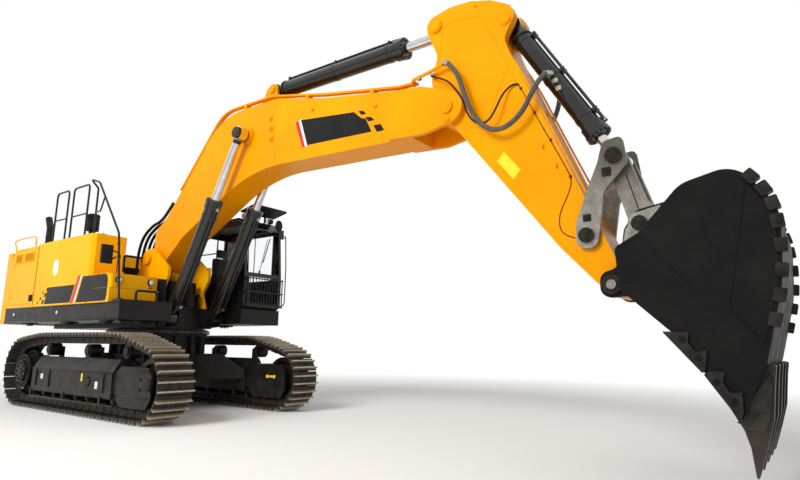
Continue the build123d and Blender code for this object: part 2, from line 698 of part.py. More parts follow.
# Boom: a bent box from the foot tube to two ears that hold the arm
BOOM_OUTLINE = ((20, 3470), (370, 3690), (1950, 5470), (3480, 5455), (4600, 5170), (6450, 4835),
                (6370, 4125), (2900, 4262), (950, 3240), (330, 2720), (18, 2718))
BOOM_BENDS = (160, 500, 1300, 1500, 3000, 0, 0, 3000, 300, 0, 0)
TIP_OUTLINE = ((6000, 4880), (6560, 4815), (7040, 4624), (7040, 4176), (6600, 4105), (6000, 4145))
TIP_BENDS = (0, 300, 0, 0, 300, 0)
TIP_RADIUS = 230
FOOT_RADIUS = 215
with BuildPart() as boom:
    plate(BOOM_OUTLINE, BOOM_BENDS, BOOM_HALF, -BOOM_HALF)
    drum(FOOT_PIN, FOOT_RADIUS, BRACKET_INNER - 6, 6 - BRACKET_INNER)
    drum(FOOT_PIN, FOOT_PIN_RADIUS + PLAY, 600, -600, Mode.SUBTRACT)
    drum(BOOM_CYLINDER_EYE, 150, 330, -330)
    for side, hand in SIDES:
        faces = sorted((side * TIP_EAR_INNER, side * TIP_EAR_OUTER))
        plate(TIP_OUTLINE, TIP_BENDS, faces[1], faces[0])
        drum(ARM_PIN, TIP_RADIUS, faces[1], faces[0])
        ear = sorted((side * 85, side * 135))
        plate(
            ((2850, 5380), (3040, 5790), (3200, 5890), (3300, 5800), (3370, 5380)),
            (0, 80, 120, 80, 0), ear[1], ear[0],
        )
    drum(ARM_CYLINDER_BASE, PIN_RADIUS, 150, -150)
    drum(ARM_PIN, ARM_PIN_RADIUS, 360, -360)
finish(boom, "boom")

# Pipes along the top of the boom on both sides, in clips
PIPE_RADIUS = 22
with BuildPart() as boom_pipes:
    for side, hand in SIDES:
        for y in (170, 225):
            tube(((700, side * y, 4240), (1930, side * y, 5590), (3300, side * y, 5560),
                  (4600, side * y, 5260), (6100, side * y, 4975), (6400, side * y, 4960)),
                 (700, 700, 900, 200), PIPE_RADIUS)
        for x, z in ((900, 4270), (1500, 4950), (2600, 5470), (4200, 5260), (5600, 4990)):
            block((x - 30, x + 30), sorted((side * 140, side * 250)), (z - 60, z + 90))
    add(boom.part, mode=Mode.SUBTRACT)
finish(boom_pipes, "boom_pipes")

# Arm: a tapering box with a deep head for its cylinder and the bucket's cylinder
ARM_OUTLINE = ((7620, 5790), (7310, 5890), (6990, 5915), (6590, 5840), (6620, 5620), (6790, 5240),
               (6690, 4900), (6760, 4420), (7010, 4190), (8450, 2362), (8945, 1835), (9190, 1870),
               (8420, 3700), (7880, 4960), (7800, 5180), (7960, 5470), (7900, 5620))
ARM_BENDS = (200, 400, 400, 150, 100, 200, 150, 200, 150, 1500, 100, 100, 2000, 200, 150, 120, 120)
with BuildPart() as arm:
    plate(ARM_OUTLINE, ARM_BENDS, ARM_HALF, -ARM_HALF)
    drum(ARM_PIN, 225, ARM_HALF, -ARM_HALF)
    drum(ARM_PIN, 225, TIP_EAR_INNER - 6, 6 - TIP_EAR_INNER)
    drum(BUCKET_PIN, 120, BUCKET_EAR_INNER - 6, 6 - BUCKET_EAR_INNER)
    drum(ARM_PIN, ARM_PIN_RADIUS + PLAY, 400, -400, Mode.SUBTRACT)
    block((6400, 7040), (-110, 110), (5425, 6000), Mode.SUBTRACT)
    block((7640, 8100), (-140, 140), (5150, 6000), Mode.SUBTRACT)
    for side, hand in SIDES:
        faces = sorted((side * (ARM_HALF - 10), side * (ARM_HALF + 30)))
        drum(ARM_CYLINDER_EYE, 95, faces[1], faces[0])
    drum(BUCKET_CYLINDER_BASE, PIN_RADIUS, 270, -270)
    drum(BUCKET_PIN, PIN_RADIUS, BUCKET_EAR_OUTER + 18, -BUCKET_EAR_OUTER - 18)
    drum(ROCKER_PIN, PIN_RADIUS, ROCKER_OUTER + 15, -ROCKER_OUTER - 15)
finish(arm, "arm")

# Bucket: side plates, a shell plate round the back and two ears for the arm and the link
BUCKET_SIDE = ((9270, 1790), (9245, 2190), (9470, 2310), (9850, 2720), (10300, 2830), (10590, 2400),
               (10555, 1800), (10385, 1130), (10165, 655), (9925, 1060), (9700, 1385))
BUCKET_BENDS = (60, 60, 150, 280, 250, 400, 1500, 600, 20, 0, 300)
with BuildPart() as bucket:
    plate(BUCKET_SIDE, BUCKET_BENDS, BUCKET_HALF, -BUCKET_HALF)
    hollow = ((9330, 1500), (9290, 1900), (9295, 2155), (9490, 2260), (9875, 2675), (10280, 2775),
             (10540, 2390), (10510, 1800), (10345, 1150), (10100, 640), (9700, 900))
    plate(hollow, (0, 60, 50, 150, 280, 220, 370, 1500, 600, 0, 0),
          BUCKET_HALF - BUCKET_PLATE, BUCKET_PLATE - BUCKET_HALF, Mode.SUBTRACT)
    for side, hand in SIDES:
        faces = sorted((side * BUCKET_EAR_INNER, side * BUCKET_EAR_OUTER))
        plate(
            ((8915, 1760), (9270, 1780), (9262, 2195), (9480, 2300), (9790, 2640), (9640, 2720),
             (9330, 2665), (9190, 2480), (9120, 2070), (8915, 2030)),
            (110, 0, 0, 0, 0, 60, 110, 150, 150, 110), faces[1], faces[0],
        )
        for pin in (BUCKET_PIN, LINK_PIN):
            drum(pin, PIN_RADIUS + PLAY, faces[1], faces[0], Mode.SUBTRACT)
finish(bucket, "bucket")

# Five teeth on the lip: an adapter over the plate and a pointed tip, 110 wide
TOOTH_HALF = 55
TOOTH_YS = (-880, -440, 0, 440, 880)
with BuildPart() as bucket_teeth:
    for y in TOOTH_YS:
        plate(
            ((10085, 780), (10180, 600), (10215, 470), (10236, 240), (10252, 235), (10330, 480),
             (10390, 690), (10425, 1000), (10445, 1125), (10395, 1135), (10240, 900), (10130, 700)),
            (0, 30, 0, 0, 0, 150, 60, 0, 15, 10, 0, 0), y + TOOTH_HALF, y - TOOTH_HALF,
        )
    add(bucket.part, mode=Mode.SUBTRACT)
finish(bucket_teeth, "bucket_teeth")

# Side cutters over the cheeks' edges, and a row of wear blocks round each corner of the heel,
# given by points down the cheek's edge
CUTTERS = (
    ((9620, 1398), (9835, 1388), (9822, 1300), (9878, 1222), (9965, 1240), (9940, 1072), (9918, 1046)),
    ((9926, 1036), (9985, 1072), (10085, 1060), (10062, 975), (10110, 895), (10195, 905), (10195, 760),
     (10172, 668)),
)
HEEL_LINE = (
    (10330, 2775), (10405, 2695), (10490, 2575), (10540, 2445), (10562, 2290), (10570, 2090),
    (10558, 1885), (10526, 1685), (10478, 1488), (10430, 1300),
)
with BuildPart() as bucket_wear_parts:
    for side, hand in SIDES:
        faces = sorted((side * (BUCKET_HALF - BUCKET_PLATE), side * (BUCKET_HALF + 35)))
        for cutter in CUTTERS:
            plate(cutter, (8,) * len(cutter), faces[1], faces[0])
        for above, here, below in zip(HEEL_LINE, HEEL_LINE[1:], HEEL_LINE[2:]):
            down = (Vector(*below) - Vector(*above)).normalized()
            outward = Vector(-down.Y, down.X)
            corners = [Vector(*here) + down * run + outward * reach
                       for run, reach in ((-58, -50), (58, -50), (58, 48), (-58, 48))]
            plate([(corner.X, corner.Y) for corner in corners], (15,) * 4, faces[1], faces[0])
    add(bucket.part, mode=Mode.SUBTRACT)
finish(bucket_wear_parts, "bucket_wear_parts")

# Rocker arms: a bent plate on each side of the arm
ROCKER_OUTLINE = ((8990, 3505), (9200, 3535), (9245, 3210), (8985, 2945), (8885, 2315),
                  (8655, 2330), (8655, 2610), (8790, 2960), (8925, 3270))
ROCKER_BENDS = (70, 60, 90, 180, 105, 100, 250, 0, 0)
with BuildPart() as rocker_arms:
    for side, hand in SIDES:
        faces = sorted((side * ROCKER_INNER, side * ROCKER_OUTER))
        plate(ROCKER_OUTLINE, ROCKER_BENDS, faces[1], faces[0])
        drum(ROCKER_PIN, PIN_RADIUS + PLAY, faces[1], faces[0], Mode.SUBTRACT)
        stub = sorted((side * 222, side * (ROCKER_OUTER + 25)))
        drum(ROCKER_TOP, 75, stub[1], stub[0])
finish(rocker_arms, "rocker_arms")

# Link between the rocker arms and the bucket
with BuildPart() as bucket_link:
    for low, high in ((95, 215), (-215, -95)):
        strap(LINK_PIN, ROCKER_TOP, (125, 110), high, low)
    strap(LINK_PIN, along(LINK_PIN, ROCKER_TOP, 260), (125, 120), 215, -215)
    drum(LINK_PIN, 125, BUCKET_EAR_INNER - 6, 6 - BUCKET_EAR_INNER)
    drum(LINK_PIN, PIN_RADIUS, BUCKET_EAR_OUTER + 18, -BUCKET_EAR_OUTER - 18)
finish(bucket_link, "bucket_link")


# Cylinders: a hollow barrel with an eye at its base, and a rod with an eye at its end
def barrel(base, eye, y, radius, bore, length):
    """A barrel of this length from its base pin, bored for the rod."""
    drum(base, 125, y + EYE_HALF, y - EYE_HALF)
    shaft(base, eye, 0, 230, y, EYE_HALF - 10)
    shaft(base, eye, 215, length, y, radius)
    shaft(base, eye, length - 110, length, y, radius + 14)
    shaft(base, eye, 235, length + 10, y, bore, Mode.SUBTRACT)
    drum(base, PIN_RADIUS + PLAY, y + EYE_HALF + 10, y - EYE_HALF - 10, Mode.SUBTRACT)


def rod(base, eye, y, radius, length, eye_radius):
    """A rod of this length, from its eye back into the barrel."""
    span = hypot(eye[0] - base[0], eye[1] - base[1])
    shaft(base, eye, span - length, span, y, radius)
    drum(eye, eye_radius, y + EYE_HALF, y - EYE_HALF)


BOOM_ROD = 72
with BuildPart() as boom_cylinder_barrels:
    for side, hand in SIDES:
        barrel(BOOM_CYLINDER_BASE, BOOM_CYLINDER_EYE, side * BOOM_CYLINDER_Y, 125,
               BOOM_ROD + PLAY, 2330)
finish(boom_cylinder_barrels, "boom_cylinder_barrels")

with BuildPart() as boom_cylinder_rods:
    for side, hand in SIDES:
        rod(BOOM_CYLINDER_BASE, BOOM_CYLINDER_EYE, side * BOOM_CYLINDER_Y, BOOM_ROD, 2330, 125)
        stub = sorted((side * 340, side * (BOOM_CYLINDER_Y + EYE_HALF + 25)))
        drum(BOOM_CYLINDER_EYE, 85, stub[1], stub[0])
finish(boom_cylinder_rods, "boom_cylinder_rods")

ARM_ROD = 76
with BuildPart() as arm_cylinder_barrel:
    barrel(ARM_CYLINDER_BASE, ARM_CYLINDER_EYE, 0, 138, ARM_ROD + PLAY, 2850)
finish(arm_cylinder_barrel, "arm_cylinder_barrel")

with BuildPart() as arm_cylinder_rod:
    rod(ARM_CYLINDER_BASE, ARM_CYLINDER_EYE, 0, ARM_ROD, 2860, 120)
finish(arm_cylinder_rod, "arm_cylinder_rod")

BUCKET_ROD = 66
with BuildPart() as bucket_cylinder_barrel:
    barrel(BUCKET_CYLINDER_BASE, ROCKER_TOP, 0, 122, BUCKET_ROD + PLAY, 2030)
finish(bucket_cylinder_barrel, "bucket_cylinder_barrel")

with BuildPart() as bucket_cylinder_rod:
    rod(BUCKET_CYLINDER_BASE, ROCKER_TOP, 0, BUCKET_ROD, 2060, 110)
finish(bucket_cylinder_rod, "bucket_cylinder_rod")
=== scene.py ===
from math import acos, atan2, cos, pi, radians, sin

import bmesh
import bpy
from mathutils import Matrix, Vector


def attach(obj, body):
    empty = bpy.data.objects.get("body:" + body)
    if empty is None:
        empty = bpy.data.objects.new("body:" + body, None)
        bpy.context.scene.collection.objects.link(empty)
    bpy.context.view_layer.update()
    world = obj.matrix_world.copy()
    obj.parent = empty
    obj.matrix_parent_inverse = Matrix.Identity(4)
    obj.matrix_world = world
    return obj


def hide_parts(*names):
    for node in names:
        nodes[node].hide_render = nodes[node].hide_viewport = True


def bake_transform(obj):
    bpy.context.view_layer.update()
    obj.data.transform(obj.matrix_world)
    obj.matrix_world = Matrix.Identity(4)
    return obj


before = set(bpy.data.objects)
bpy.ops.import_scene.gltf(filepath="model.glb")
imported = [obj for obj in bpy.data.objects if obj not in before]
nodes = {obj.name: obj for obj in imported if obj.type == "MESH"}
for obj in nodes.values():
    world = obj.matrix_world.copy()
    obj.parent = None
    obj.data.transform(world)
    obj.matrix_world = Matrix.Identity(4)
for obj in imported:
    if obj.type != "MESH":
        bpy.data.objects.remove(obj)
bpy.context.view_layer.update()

# Camera. It stands low in front of the machine, beside the bucket, and looks back and up
# along the right side. Its place, heading, rise and roll were solved from the photograph.
CAMERA_PLACE = Vector((10.792, -6.506, 1.2435))
HEADING = radians(126.47)
RISE = radians(10.48)
ROLL = radians(0.71)
view = Vector((cos(HEADING) * cos(RISE), sin(HEADING) * cos(RISE), sin(RISE)))
level = Vector((sin(HEADING), -cos(HEADING), 0))
upright = level.cross(view)
side_axis = cos(ROLL) * level + sin(ROLL) * upright
top_axis = cos(ROLL) * upright - sin(ROLL) * level
lens = bpy.data.cameras.new("camera")
lens.lens = 25.73
lens.sensor_width = 36
lens.clip_end = 400
camera = bpy.data.objects.new("camera", lens)
bpy.context.scene.collection.objects.link(camera)
turn = Matrix((side_axis, top_axis, -view)).transposed().to_4x4()
camera.matrix_world = Matrix.Translation(CAMERA_PLACE) @ turn
bpy.context.scene.camera = camera
bpy.context.scene.view_settings.view_transform = "Standard"


# Studio. A white room gives even light, a big softbox over the camera's left shoulder gives
# the bright side and soft shadows, and the pale floor turns white away from the machine.
def linear(code):
    """The linear colour, with alpha, of an sRGB hex value."""
    shares = [int(code[i:i + 2], 16) / 255 for i in (1, 3, 5)]
    return [c / 12.92 if c <= 0.04045 else ((c + 0.055) / 1.055) ** 2.4 for c in shares] + [1.0]


def add_node(tree, kind, sockets=None, **settings):
    """Add a node, set its fields, and set or link its sockets by name or number."""
    made = tree.nodes.new(kind)
    for field, value in settings.items():
        setattr(made, field, value)
    for socket, value in (sockets or {}).items():
        if isinstance(value, bpy.types.NodeSocket):
            tree.links.new(value, made.inputs[socket])
        else:
            made.inputs[socket].default_value = value
    return made


ROOM_LIGHT = 0.55
world = bpy.data.worlds.new("studio")
world.use_nodes = True
bpy.context.scene.world = world
room = world.node_tree
room.nodes.clear()
ray = add_node(room, "ShaderNodeLightPath")
seen = add_node(room, "ShaderNodeMath", {0: ray.outputs["Is Camera Ray"],
                                         1: ray.outputs["Is Glossy Ray"]}, operation="MAXIMUM")
seen = add_node(room, "ShaderNodeMath", {0: seen.outputs[0],
                                         1: ray.outputs["Is Transmission Ray"]}, operation="MAXIMUM")
level_of_light = add_node(room, "ShaderNodeMapRange",
                          {"Value": seen.outputs[0], "To Min": ROOM_LIGHT, "To Max": 1.0})
glow = add_node(room, "ShaderNodeBackground",
                {"Color": linear("#ffffff"), "Strength": level_of_light.outputs[0]})
add_node(room, "ShaderNodeOutputWorld", {"Surface": glow.outputs[0]})

softbox = bpy.data.lights.new("softbox", "AREA")
softbox.shape = "DISK"
softbox.size = 9
softbox.energy = 2500
softbox_lamp = bpy.data.objects.new("softbox", softbox)
bpy.context.scene.collection.objects.link(softbox_lamp)
softbox_place = Vector((3.5, -15.0, 12.0))
softbox_lamp.location = softbox_place
softbox_lamp.rotation_euler = (Vector((2.5, 0, 2.5)) - softbox_place).to_track_quat("-Z", "Y").to_euler()
softbox_lamp.visible_glossy = False

FLOOR_HALF = 120
ground = bmesh.new()
bmesh.ops.create_grid(ground, x_segments=1, y_segments=1, size=FLOOR_HALF)
floor_mesh = bpy.data.meshes.new("studio_floor")
ground.to_mesh(floor_mesh)
ground.free()
studio_floor = bpy.data.objects.new("studio_floor", floor_mesh)
bpy.context.scene.collection.objects.link(studio_floor)
floor_paint = bpy.data.materials.new("pale_floor")
floor_paint.use_nodes = True
tree = floor_paint.node_tree
tree.nodes.clear()
ray = add_node(tree, "ShaderNodeLightPath")
place = add_node(tree, "ShaderNodeTexCoord")
near = add_node(tree, "ShaderNodeVectorMath",
                {0: place.outputs["Object"], 1: (3.0, 0.0, 0.0)}, operation="DISTANCE")
far = add_node(tree, "ShaderNodeMapRange",
               {"Value": near.outputs["Value"], "From Min": 8.0, "From Max": 16.0})
plain = add_node(tree, "ShaderNodeMath",
                 {0: far.outputs[0], 1: ray.outputs["Is Camera Ray"]}, operation="MULTIPLY")
matte = add_node(tree, "ShaderNodeBsdfDiffuse", {"Color": linear("#f6f6f4")})
white = add_node(tree, "ShaderNodeEmission", {"Color": linear("#ffffff"), "Strength": 1.0})
both = add_node(tree, "ShaderNodeMixShader",
                {0: plain.outputs[0], 1: matte.outputs[0], 2: white.outputs[0]})
add_node(tree, "ShaderNodeOutputMaterial", {"Surface": both.outputs[0]})
floor_mesh.materials.append(floor_paint)


# Undercarriage frames and car body: welded plate and castings under satin black paint. Dust
# from the ground lies on them, thick low down and on what faces up, and thins out higher.
def new_material(name, glance=0.5):
    """A new material with this specular level, its node tree and its shader."""
    made = bpy.data.materials.new(name)
    made.use_nodes = True
    shader = made.node_tree.nodes["Principled BSDF"]
    shader.inputs["Specular IOR Level"].default_value = glance
    return made, made.node_tree, shader


def soft_noise(tree, cell_mm, low, high, detail=3.0):
    """Noise with cells of this size in millimetres, spread between two values."""
    where = add_node(tree, "ShaderNodeTexCoord")
    noise = add_node(tree, "ShaderNodeTexNoise", {"Vector": where.outputs["Object"],
                                                  "Scale": 1000 / cell_mm, "Detail": detail})
    spread = add_node(tree, "ShaderNodeMapRange",
                      {"Value": noise.outputs["Fac"], "From Min": 0.3, "From Max": 0.7,
                       "To Min": low, "To Max": high})
    return spread.outputs[0]


def blend_colours(tree, share, first, second):
    """The colour that lies this share of the way from one colour to another."""
    mix = add_node(tree, "ShaderNodeMix", {0: share}, data_type="RGBA")
    for number, value in ((6, first), (7, second)):
        if isinstance(value, bpy.types.NodeSocket):
            tree.links.new(value, mix.inputs[number])
        else:
            mix.inputs[number].default_value = value
    return mix.outputs[2]


def raise_surface(tree, shader, height, depth_mm):
    """Bump of this depth in millimetres from a height between 0 and 1."""
    bump = add_node(tree, "ShaderNodeBump",
                    {"Height": height, "Distance": depth_mm / 1000, "Strength": 1.0})
    tree.links.new(bump.outputs[0], shader.inputs["Normal"])


def height_share(tree, from_z, to_z, first, second):
    """A value that goes from the first to the second between two heights."""
    where = add_node(tree, "ShaderNodeTexCoord")
    axes = add_node(tree, "ShaderNodeSeparateXYZ", {0: where.outputs["Object"]})
    spread = add_node(tree, "ShaderNodeMapRange",
                      {"Value": axes.outputs["Z"], "From Min": from_z, "From Max": to_z,
                       "To Min": first, "To Max": second})
    return spread.outputs[0]


def dust_share(tree, low_z, high_z, most):
    """How much dust lies on a point: more low down and on faces that look up, in patches."""
    facing = add_node(tree, "ShaderNodeNewGeometry")
    turned = add_node(tree, "ShaderNodeSeparateXYZ", {0: facing.outputs["Normal"]})
    upward = add_node(tree, "ShaderNodeMapRange",
                      {"Value": turned.outputs["Z"], "From Min": -0.2, "From Max": 0.9,
                       "To Min": 0.35, "To Max": 1.0})
    amount = height_share(tree, low_z, high_z, 1.0, 0.25)
    for share in (upward.outputs[0], soft_noise(tree, 190, 0.1, 1.0), most):
        amount = add_node(tree, "ShaderNodeMath", {0: amount, 1: share}, operation="MULTIPLY").outputs[0]
    return amount


DUST = linear("#6f6353")
chassis_paint, tree, shader = new_material("chassis_black_enamel", 0.2)
enamel = blend_colours(tree, soft_noise(tree, 260, 0.0, 1.0), linear("#101011"), linear("#1b1b1c"))
dusty = blend_colours(tree, dust_share(tree, 0.1, 1.3, 0.34), enamel, DUST)
tree.links.new(dusty, shader.inputs["Base Color"])
tree.links.new(soft_noise(tree, 120, 0.32, 0.5), shader.inputs["Roughness"])
raise_surface(tree, shader, soft_noise(tree, 9, 0.0, 1.0), 0.25)


def dress(material, *names):
    """Give CAD nodes this material."""
    for name in names:
        nodes[name].material_slots[0].material = material


dress(chassis_paint, "track_frame_left", "track_frame_right", "carbody", "swing_bearing")

# Rollers, idlers and final drives: dark cast and forged steel, oily where they turn and worn
# bright where the chain runs over them.
drive_cast, tree, shader = new_material("drive_cast_steel", 0.25)
cast = blend_colours(tree, soft_noise(tree, 90, 0.0, 1.0), linear("#11100f"), linear("#211e1a"))
dusty = blend_colours(tree, dust_share(tree, 0.1, 1.3, 0.4), cast, DUST)
tree.links.new(dusty, shader.inputs["Base Color"])
tree.links.new(soft_noise(tree, 70, 0.3, 0.55), shader.inputs["Roughness"])
shader.inputs["Metallic"].default_value = 0.35
raise_surface(tree, shader, soft_noise(tree, 6, 0.0, 1.0), 0.4)
dress(drive_cast, "final_drives", "idlers", "track_rollers", "carrier_rollers", "swing_drives")


# Bolt heads, used wherever a cover or a bearing is bolted down: forged hexagons on a flat
# washer, painted with the part that they hold. Bars and blocks are cut from plain stock.
def finish_piece(shape, name, body, material, angle=32):
    """Make a bmesh an object that rides on a body, smooth up to an angle in degrees."""
    bmesh.ops.recalc_face_normals(shape, faces=shape.faces)
    mesh = bpy.data.meshes.new(name)
    shape.to_mesh(mesh)
    shape.free()
    mesh.materials.append(material)
    mesh.shade_smooth()
    mesh.set_sharp_from_angle(angle=radians(angle))
    piece = bpy.data.objects.new(name, mesh)
    bpy.context.scene.collection.objects.link(piece)
    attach(piece, body)
    return piece


def along_axis(start, end):
    """The matrix that takes the unit Z axis, centred on 0, onto a line between two points."""
    start, end = Vector(start), Vector(end)
    middle = Matrix.Translation((start + end) / 2)
    return middle @ (end - start).to_track_quat("Z", "Y").to_matrix().to_4x4()


def add_bar(shape, start, end, radius, sides=24, end_radius=None):
    """A round bar, or a cone, between two points."""
    bmesh.ops.create_cone(shape, cap_ends=True, segments=sides, radius1=radius,
                          radius2=radius if end_radius is None else end_radius,
                          depth=(Vector(end) - Vector(start)).length, matrix=along_axis(start, end))


def add_block(shape, low, high, bevel=0.0, matrix=None):
    """A square block between two opposite corners, its edges bevelled."""
    low, high = Vector(map(min, low, high)), Vector(map(max, low, high))
    size = Matrix.Diagonal((*(high - low), 1))
    made = bmesh.ops.create_cube(shape, size=1.0,
                                 matrix=Matrix.Translation((low + high) / 2) @ size)
    corners = made["verts"]
    if bevel:
        edges = {edge for corner in corners for edge in corner.link_edges}
        cut = bmesh.ops.bevel(shape, geom=list(edges), offset=bevel, affect="EDGES", segments=2,
                              profile=0.5, material=-1)
        corners = {corner for face in cut["faces"] for corner in face.verts}
        corners |= {v for v in made["verts"] if v.is_valid}
    if matrix is not None:
        bmesh.ops.transform(shape, matrix=matrix, verts=list(corners))


def add_bolt(shape, place, direction, width):
    """A hexagon head of this width across its flats, on a washer, facing a direction."""
    place, direction = Vector(place), Vector(direction).normalized()
    add_bar(shape, place, place + 0.12 * width * direction, 0.78 * width, 16)
    add_bar(shape, place + 0.1 * width * direction, place + 0.65 * width * direction,
            0.577 * width, 6)


def ring_of_bolts(shape, centre, direction, ring, count, width, start=0.0):
    """Bolt heads evenly round a ring about an axis along Y."""
    for i in range(count):
        angle = start + 2 * pi * i / count
        spot = Vector(centre) + ring * Vector((cos(angle), 0, sin(angle)))
        add_bolt(shape, spot, direction, width)


# Track shoes, links and pins. Each shoe is a rolled steel plate with two grouser bars, bolted
# to a pair of forged links, and the pins join the links into a chain. Earth dulls them all to
# grey brown, and the tips of the bars are worn bright.
shoe_steel, tree, shader = new_material("rolled_track_steel", 0.3)
rust = blend_colours(tree, soft_noise(tree, 55, 0.0, 1.0), linear("#1c1815"), linear("#443a30"))
grey = blend_colours(tree, soft_noise(tree, 240, 0.0, 0.8), rust, linear("#383532"))
worn = add_node(tree, "ShaderNodeAttribute", attribute_name="worn_edge")
scratched = add_node(tree, "ShaderNodeMath", {0: worn.outputs["Fac"],
                                              1: soft_noise(tree, 30, 0.55, 1.0)},
                     operation="MULTIPLY")
bright = blend_colours(tree, scratched.outputs[0], grey, linear("#cbbfa9"))
tree.links.new(bright, shader.inputs["Base Color"])
shine = add_node(tree, "ShaderNodeMapRange", {"Value": scratched.outputs[0],
                                              "To Min": 0.62, "To Max": 0.38})
tree.links.new(shine.outputs[0], shader.inputs["Roughness"])
tree.links.new(scratched.outputs[0], shader.inputs["Metallic"])
raise_surface(tree, shader, soft_noise(tree, 12, 0.0, 1.0), 0.8)

TRACK_Y = 1.35
SHOE_HALF = 0.30
PIN_DEPTH = 0.135
SHOE_COUNT = 50
BAR_TIP = PIN_DEPTH
PLATE_TOP = 0.074
PLATE_BASE = 0.058
WHEELS = ((2.28, 0.60, 0.60), (1.5, 1.094, 0.316), (-1.35, 1.094, 0.316), (-2.22, 0.66, 0.66))


def belt_runs():
    """The pins' line as arcs and straight runs, from the idler's top, backwards and round."""
    tangents = []
    for first, second in zip(WHEELS, WHEELS[1:] + WHEELS[:1]):
        gap = Vector((second[0] - first[0], second[1] - first[1]))
        near, far = first[2] - PIN_DEPTH, second[2] - PIN_DEPTH
        heading = atan2(gap.y, gap.x)
        outward = heading - acos((near - far) / gap.length)
        normal = Vector((cos(outward), sin(outward)))
        tangents.append((Vector(first[:2]) + near * normal, Vector(second[:2]) + far * normal,
                         outward))
    return tangents


def belt_point(runs, travel):
    """Where the pins' line is after this much travel, as (x, z)."""
    count = len(runs)
    for i, (leave, arrive, outward) in enumerate(runs):
        run = (arrive - leave).length
        if travel <= run:
            return leave.lerp(arrive, travel / run)
        travel -= run
        wheel = WHEELS[(i + 1) % count]
        radius = wheel[2] - PIN_DEPTH
        swept = (runs[(i + 1) % count][2] - outward) % (2 * pi)
        if travel <= radius * swept:
            angle = outward + travel / radius
            return Vector(wheel[:2]) + radius * Vector((cos(angle), sin(angle)))
        travel -= radius * swept
    return runs[0][0].copy()


def belt_length(runs):
    """The length of the pins' line all the way round."""
    total = 0.0
    for i, (leave, arrive, outward) in enumerate(runs):
        following = runs[(i + 1) % len(runs)]
        wheel = WHEELS[(i + 1) % len(runs)]
        swept = (following[2] - outward) % (2 * pi)
        total += (arrive - leave).length + (wheel[2] - PIN_DEPTH) * swept
    return total


runs = belt_runs()
round_trip = belt_length(runs)
PITCH = round_trip / SHOE_COUNT
SHOE_PROFILE = (
    (-0.50, PLATE_BASE), (0.46, PLATE_BASE), (0.52, PLATE_BASE - 0.018), (0.56, PLATE_BASE - 0.018),
    (0.52, PLATE_TOP), (0.32, PLATE_TOP), (0.275, BAR_TIP), (0.195, BAR_TIP), (0.16, PLATE_TOP),
    (-0.26, PLATE_TOP), (-0.295, BAR_TIP), (-0.375, BAR_TIP), (-0.42, PLATE_TOP), (-0.50, PLATE_TOP),
)
LEVEL_WITHIN = 1e-6


def add_outline(shape, points, y_first, y_second, bevel=0.0, segments=1):
    """A plate with this outline of (x, z) points, between two distances across."""
    y_low, y_high = sorted((y_first, y_second))
    corners = [shape.verts.new((x, y_low, z)) for x, z in points]
    face = shape.faces.new(corners)
    pulled = bmesh.ops.extrude_face_region(shape, geom=[face])
    moved = [v for v in pulled["geom"] if isinstance(v, bmesh.types.BMVert)]
    bmesh.ops.translate(shape, vec=(0, y_high - y_low, 0), verts=moved)
    if bevel:
        ends = [e for e in {e for v in corners + moved for e in v.link_edges}
                if abs(e.verts[0].co.y - e.verts[1].co.y) < LEVEL_WITHIN]
        bmesh.ops.bevel(shape, geom=ends, offset=bevel, affect="EDGES", segments=segments,
                        profile=0.5, material=-1, clamp_overlap=True)


shoe = bmesh.new()
wear = shoe.verts.layers.float.new("worn_edge")
add_outline(shoe, [(u * PITCH, n) for u, n in SHOE_PROFILE], -SHOE_HALF, SHOE_HALF)
for across in (-0.085, 0.085):
    for along_shoe in (-0.06, 0.10):
        add_bolt(shoe, (along_shoe * PITCH * 1.6 - 0.01, across, PLATE_TOP), (0, 0, 1), 0.03)
for hand in (-1, 1):
    link = ((-0.52, -0.05), (-0.30, -0.062), (0.30, -0.062), (0.55, -0.05), (0.64, 0.0),
            (0.55, 0.045), (0.30, PLATE_BASE), (-0.30, PLATE_BASE), (-0.52, 0.045), (-0.60, 0.0))
    add_outline(shoe, [(u * PITCH, n) for u, n in link], hand * 0.09 - 0.02, hand * 0.09 + 0.02)
add_bar(shoe, (PITCH / 2, -0.118, 0), (PITCH / 2, 0.118, 0), 0.033, 12)
for v in shoe.verts:
    v[wear] = 1.0 if v.co.z > BAR_TIP - 0.004 else 0.0
shoe_mesh = bpy.data.meshes.new("one_shoe")
shoe.to_mesh(shoe_mesh)
shoe.free()

for hand, side in ((-1, "right"), (1, "left")):
    chain = bmesh.new()
    for i in range(SHOE_COUNT):
        first = belt_point(runs, i * PITCH)
        second = belt_point(runs, ((i + 1) * PITCH) % round_trip)
        ahead = (second - first).normalized()
        middle = (first + second) / 2
        old = len(chain.verts)
        chain.from_mesh(shoe_mesh)
        chain.verts.ensure_lookup_table()
        frame_of_shoe = Matrix(((ahead.x, 0, ahead.y, middle.x), (0, 1, 0, hand * TRACK_Y),
                                (ahead.y, 0, -ahead.x, middle.y), (0, 0, 0, 1)))
        bmesh.ops.transform(chain, matrix=frame_of_shoe, verts=chain.verts[old:])
    track = finish_piece(chain, f"track_chain_{side}", "undercarriage", shoe_steel)
    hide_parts(f"track_{side}")
bpy.data.meshes.remove(shoe_mesh)

# Undercarriage fittings. The drive covers are bolted on all round, the rollers hang from bolted
# saddles behind guard bars, the idlers run in yokes with sliding blocks and a grease cover, and
# ribs are welded on the frames where the car body's legs meet them.
def at_y(place, y):
    """The point at an (x, z) place and a distance across."""
    return (place[0], y, place[1])


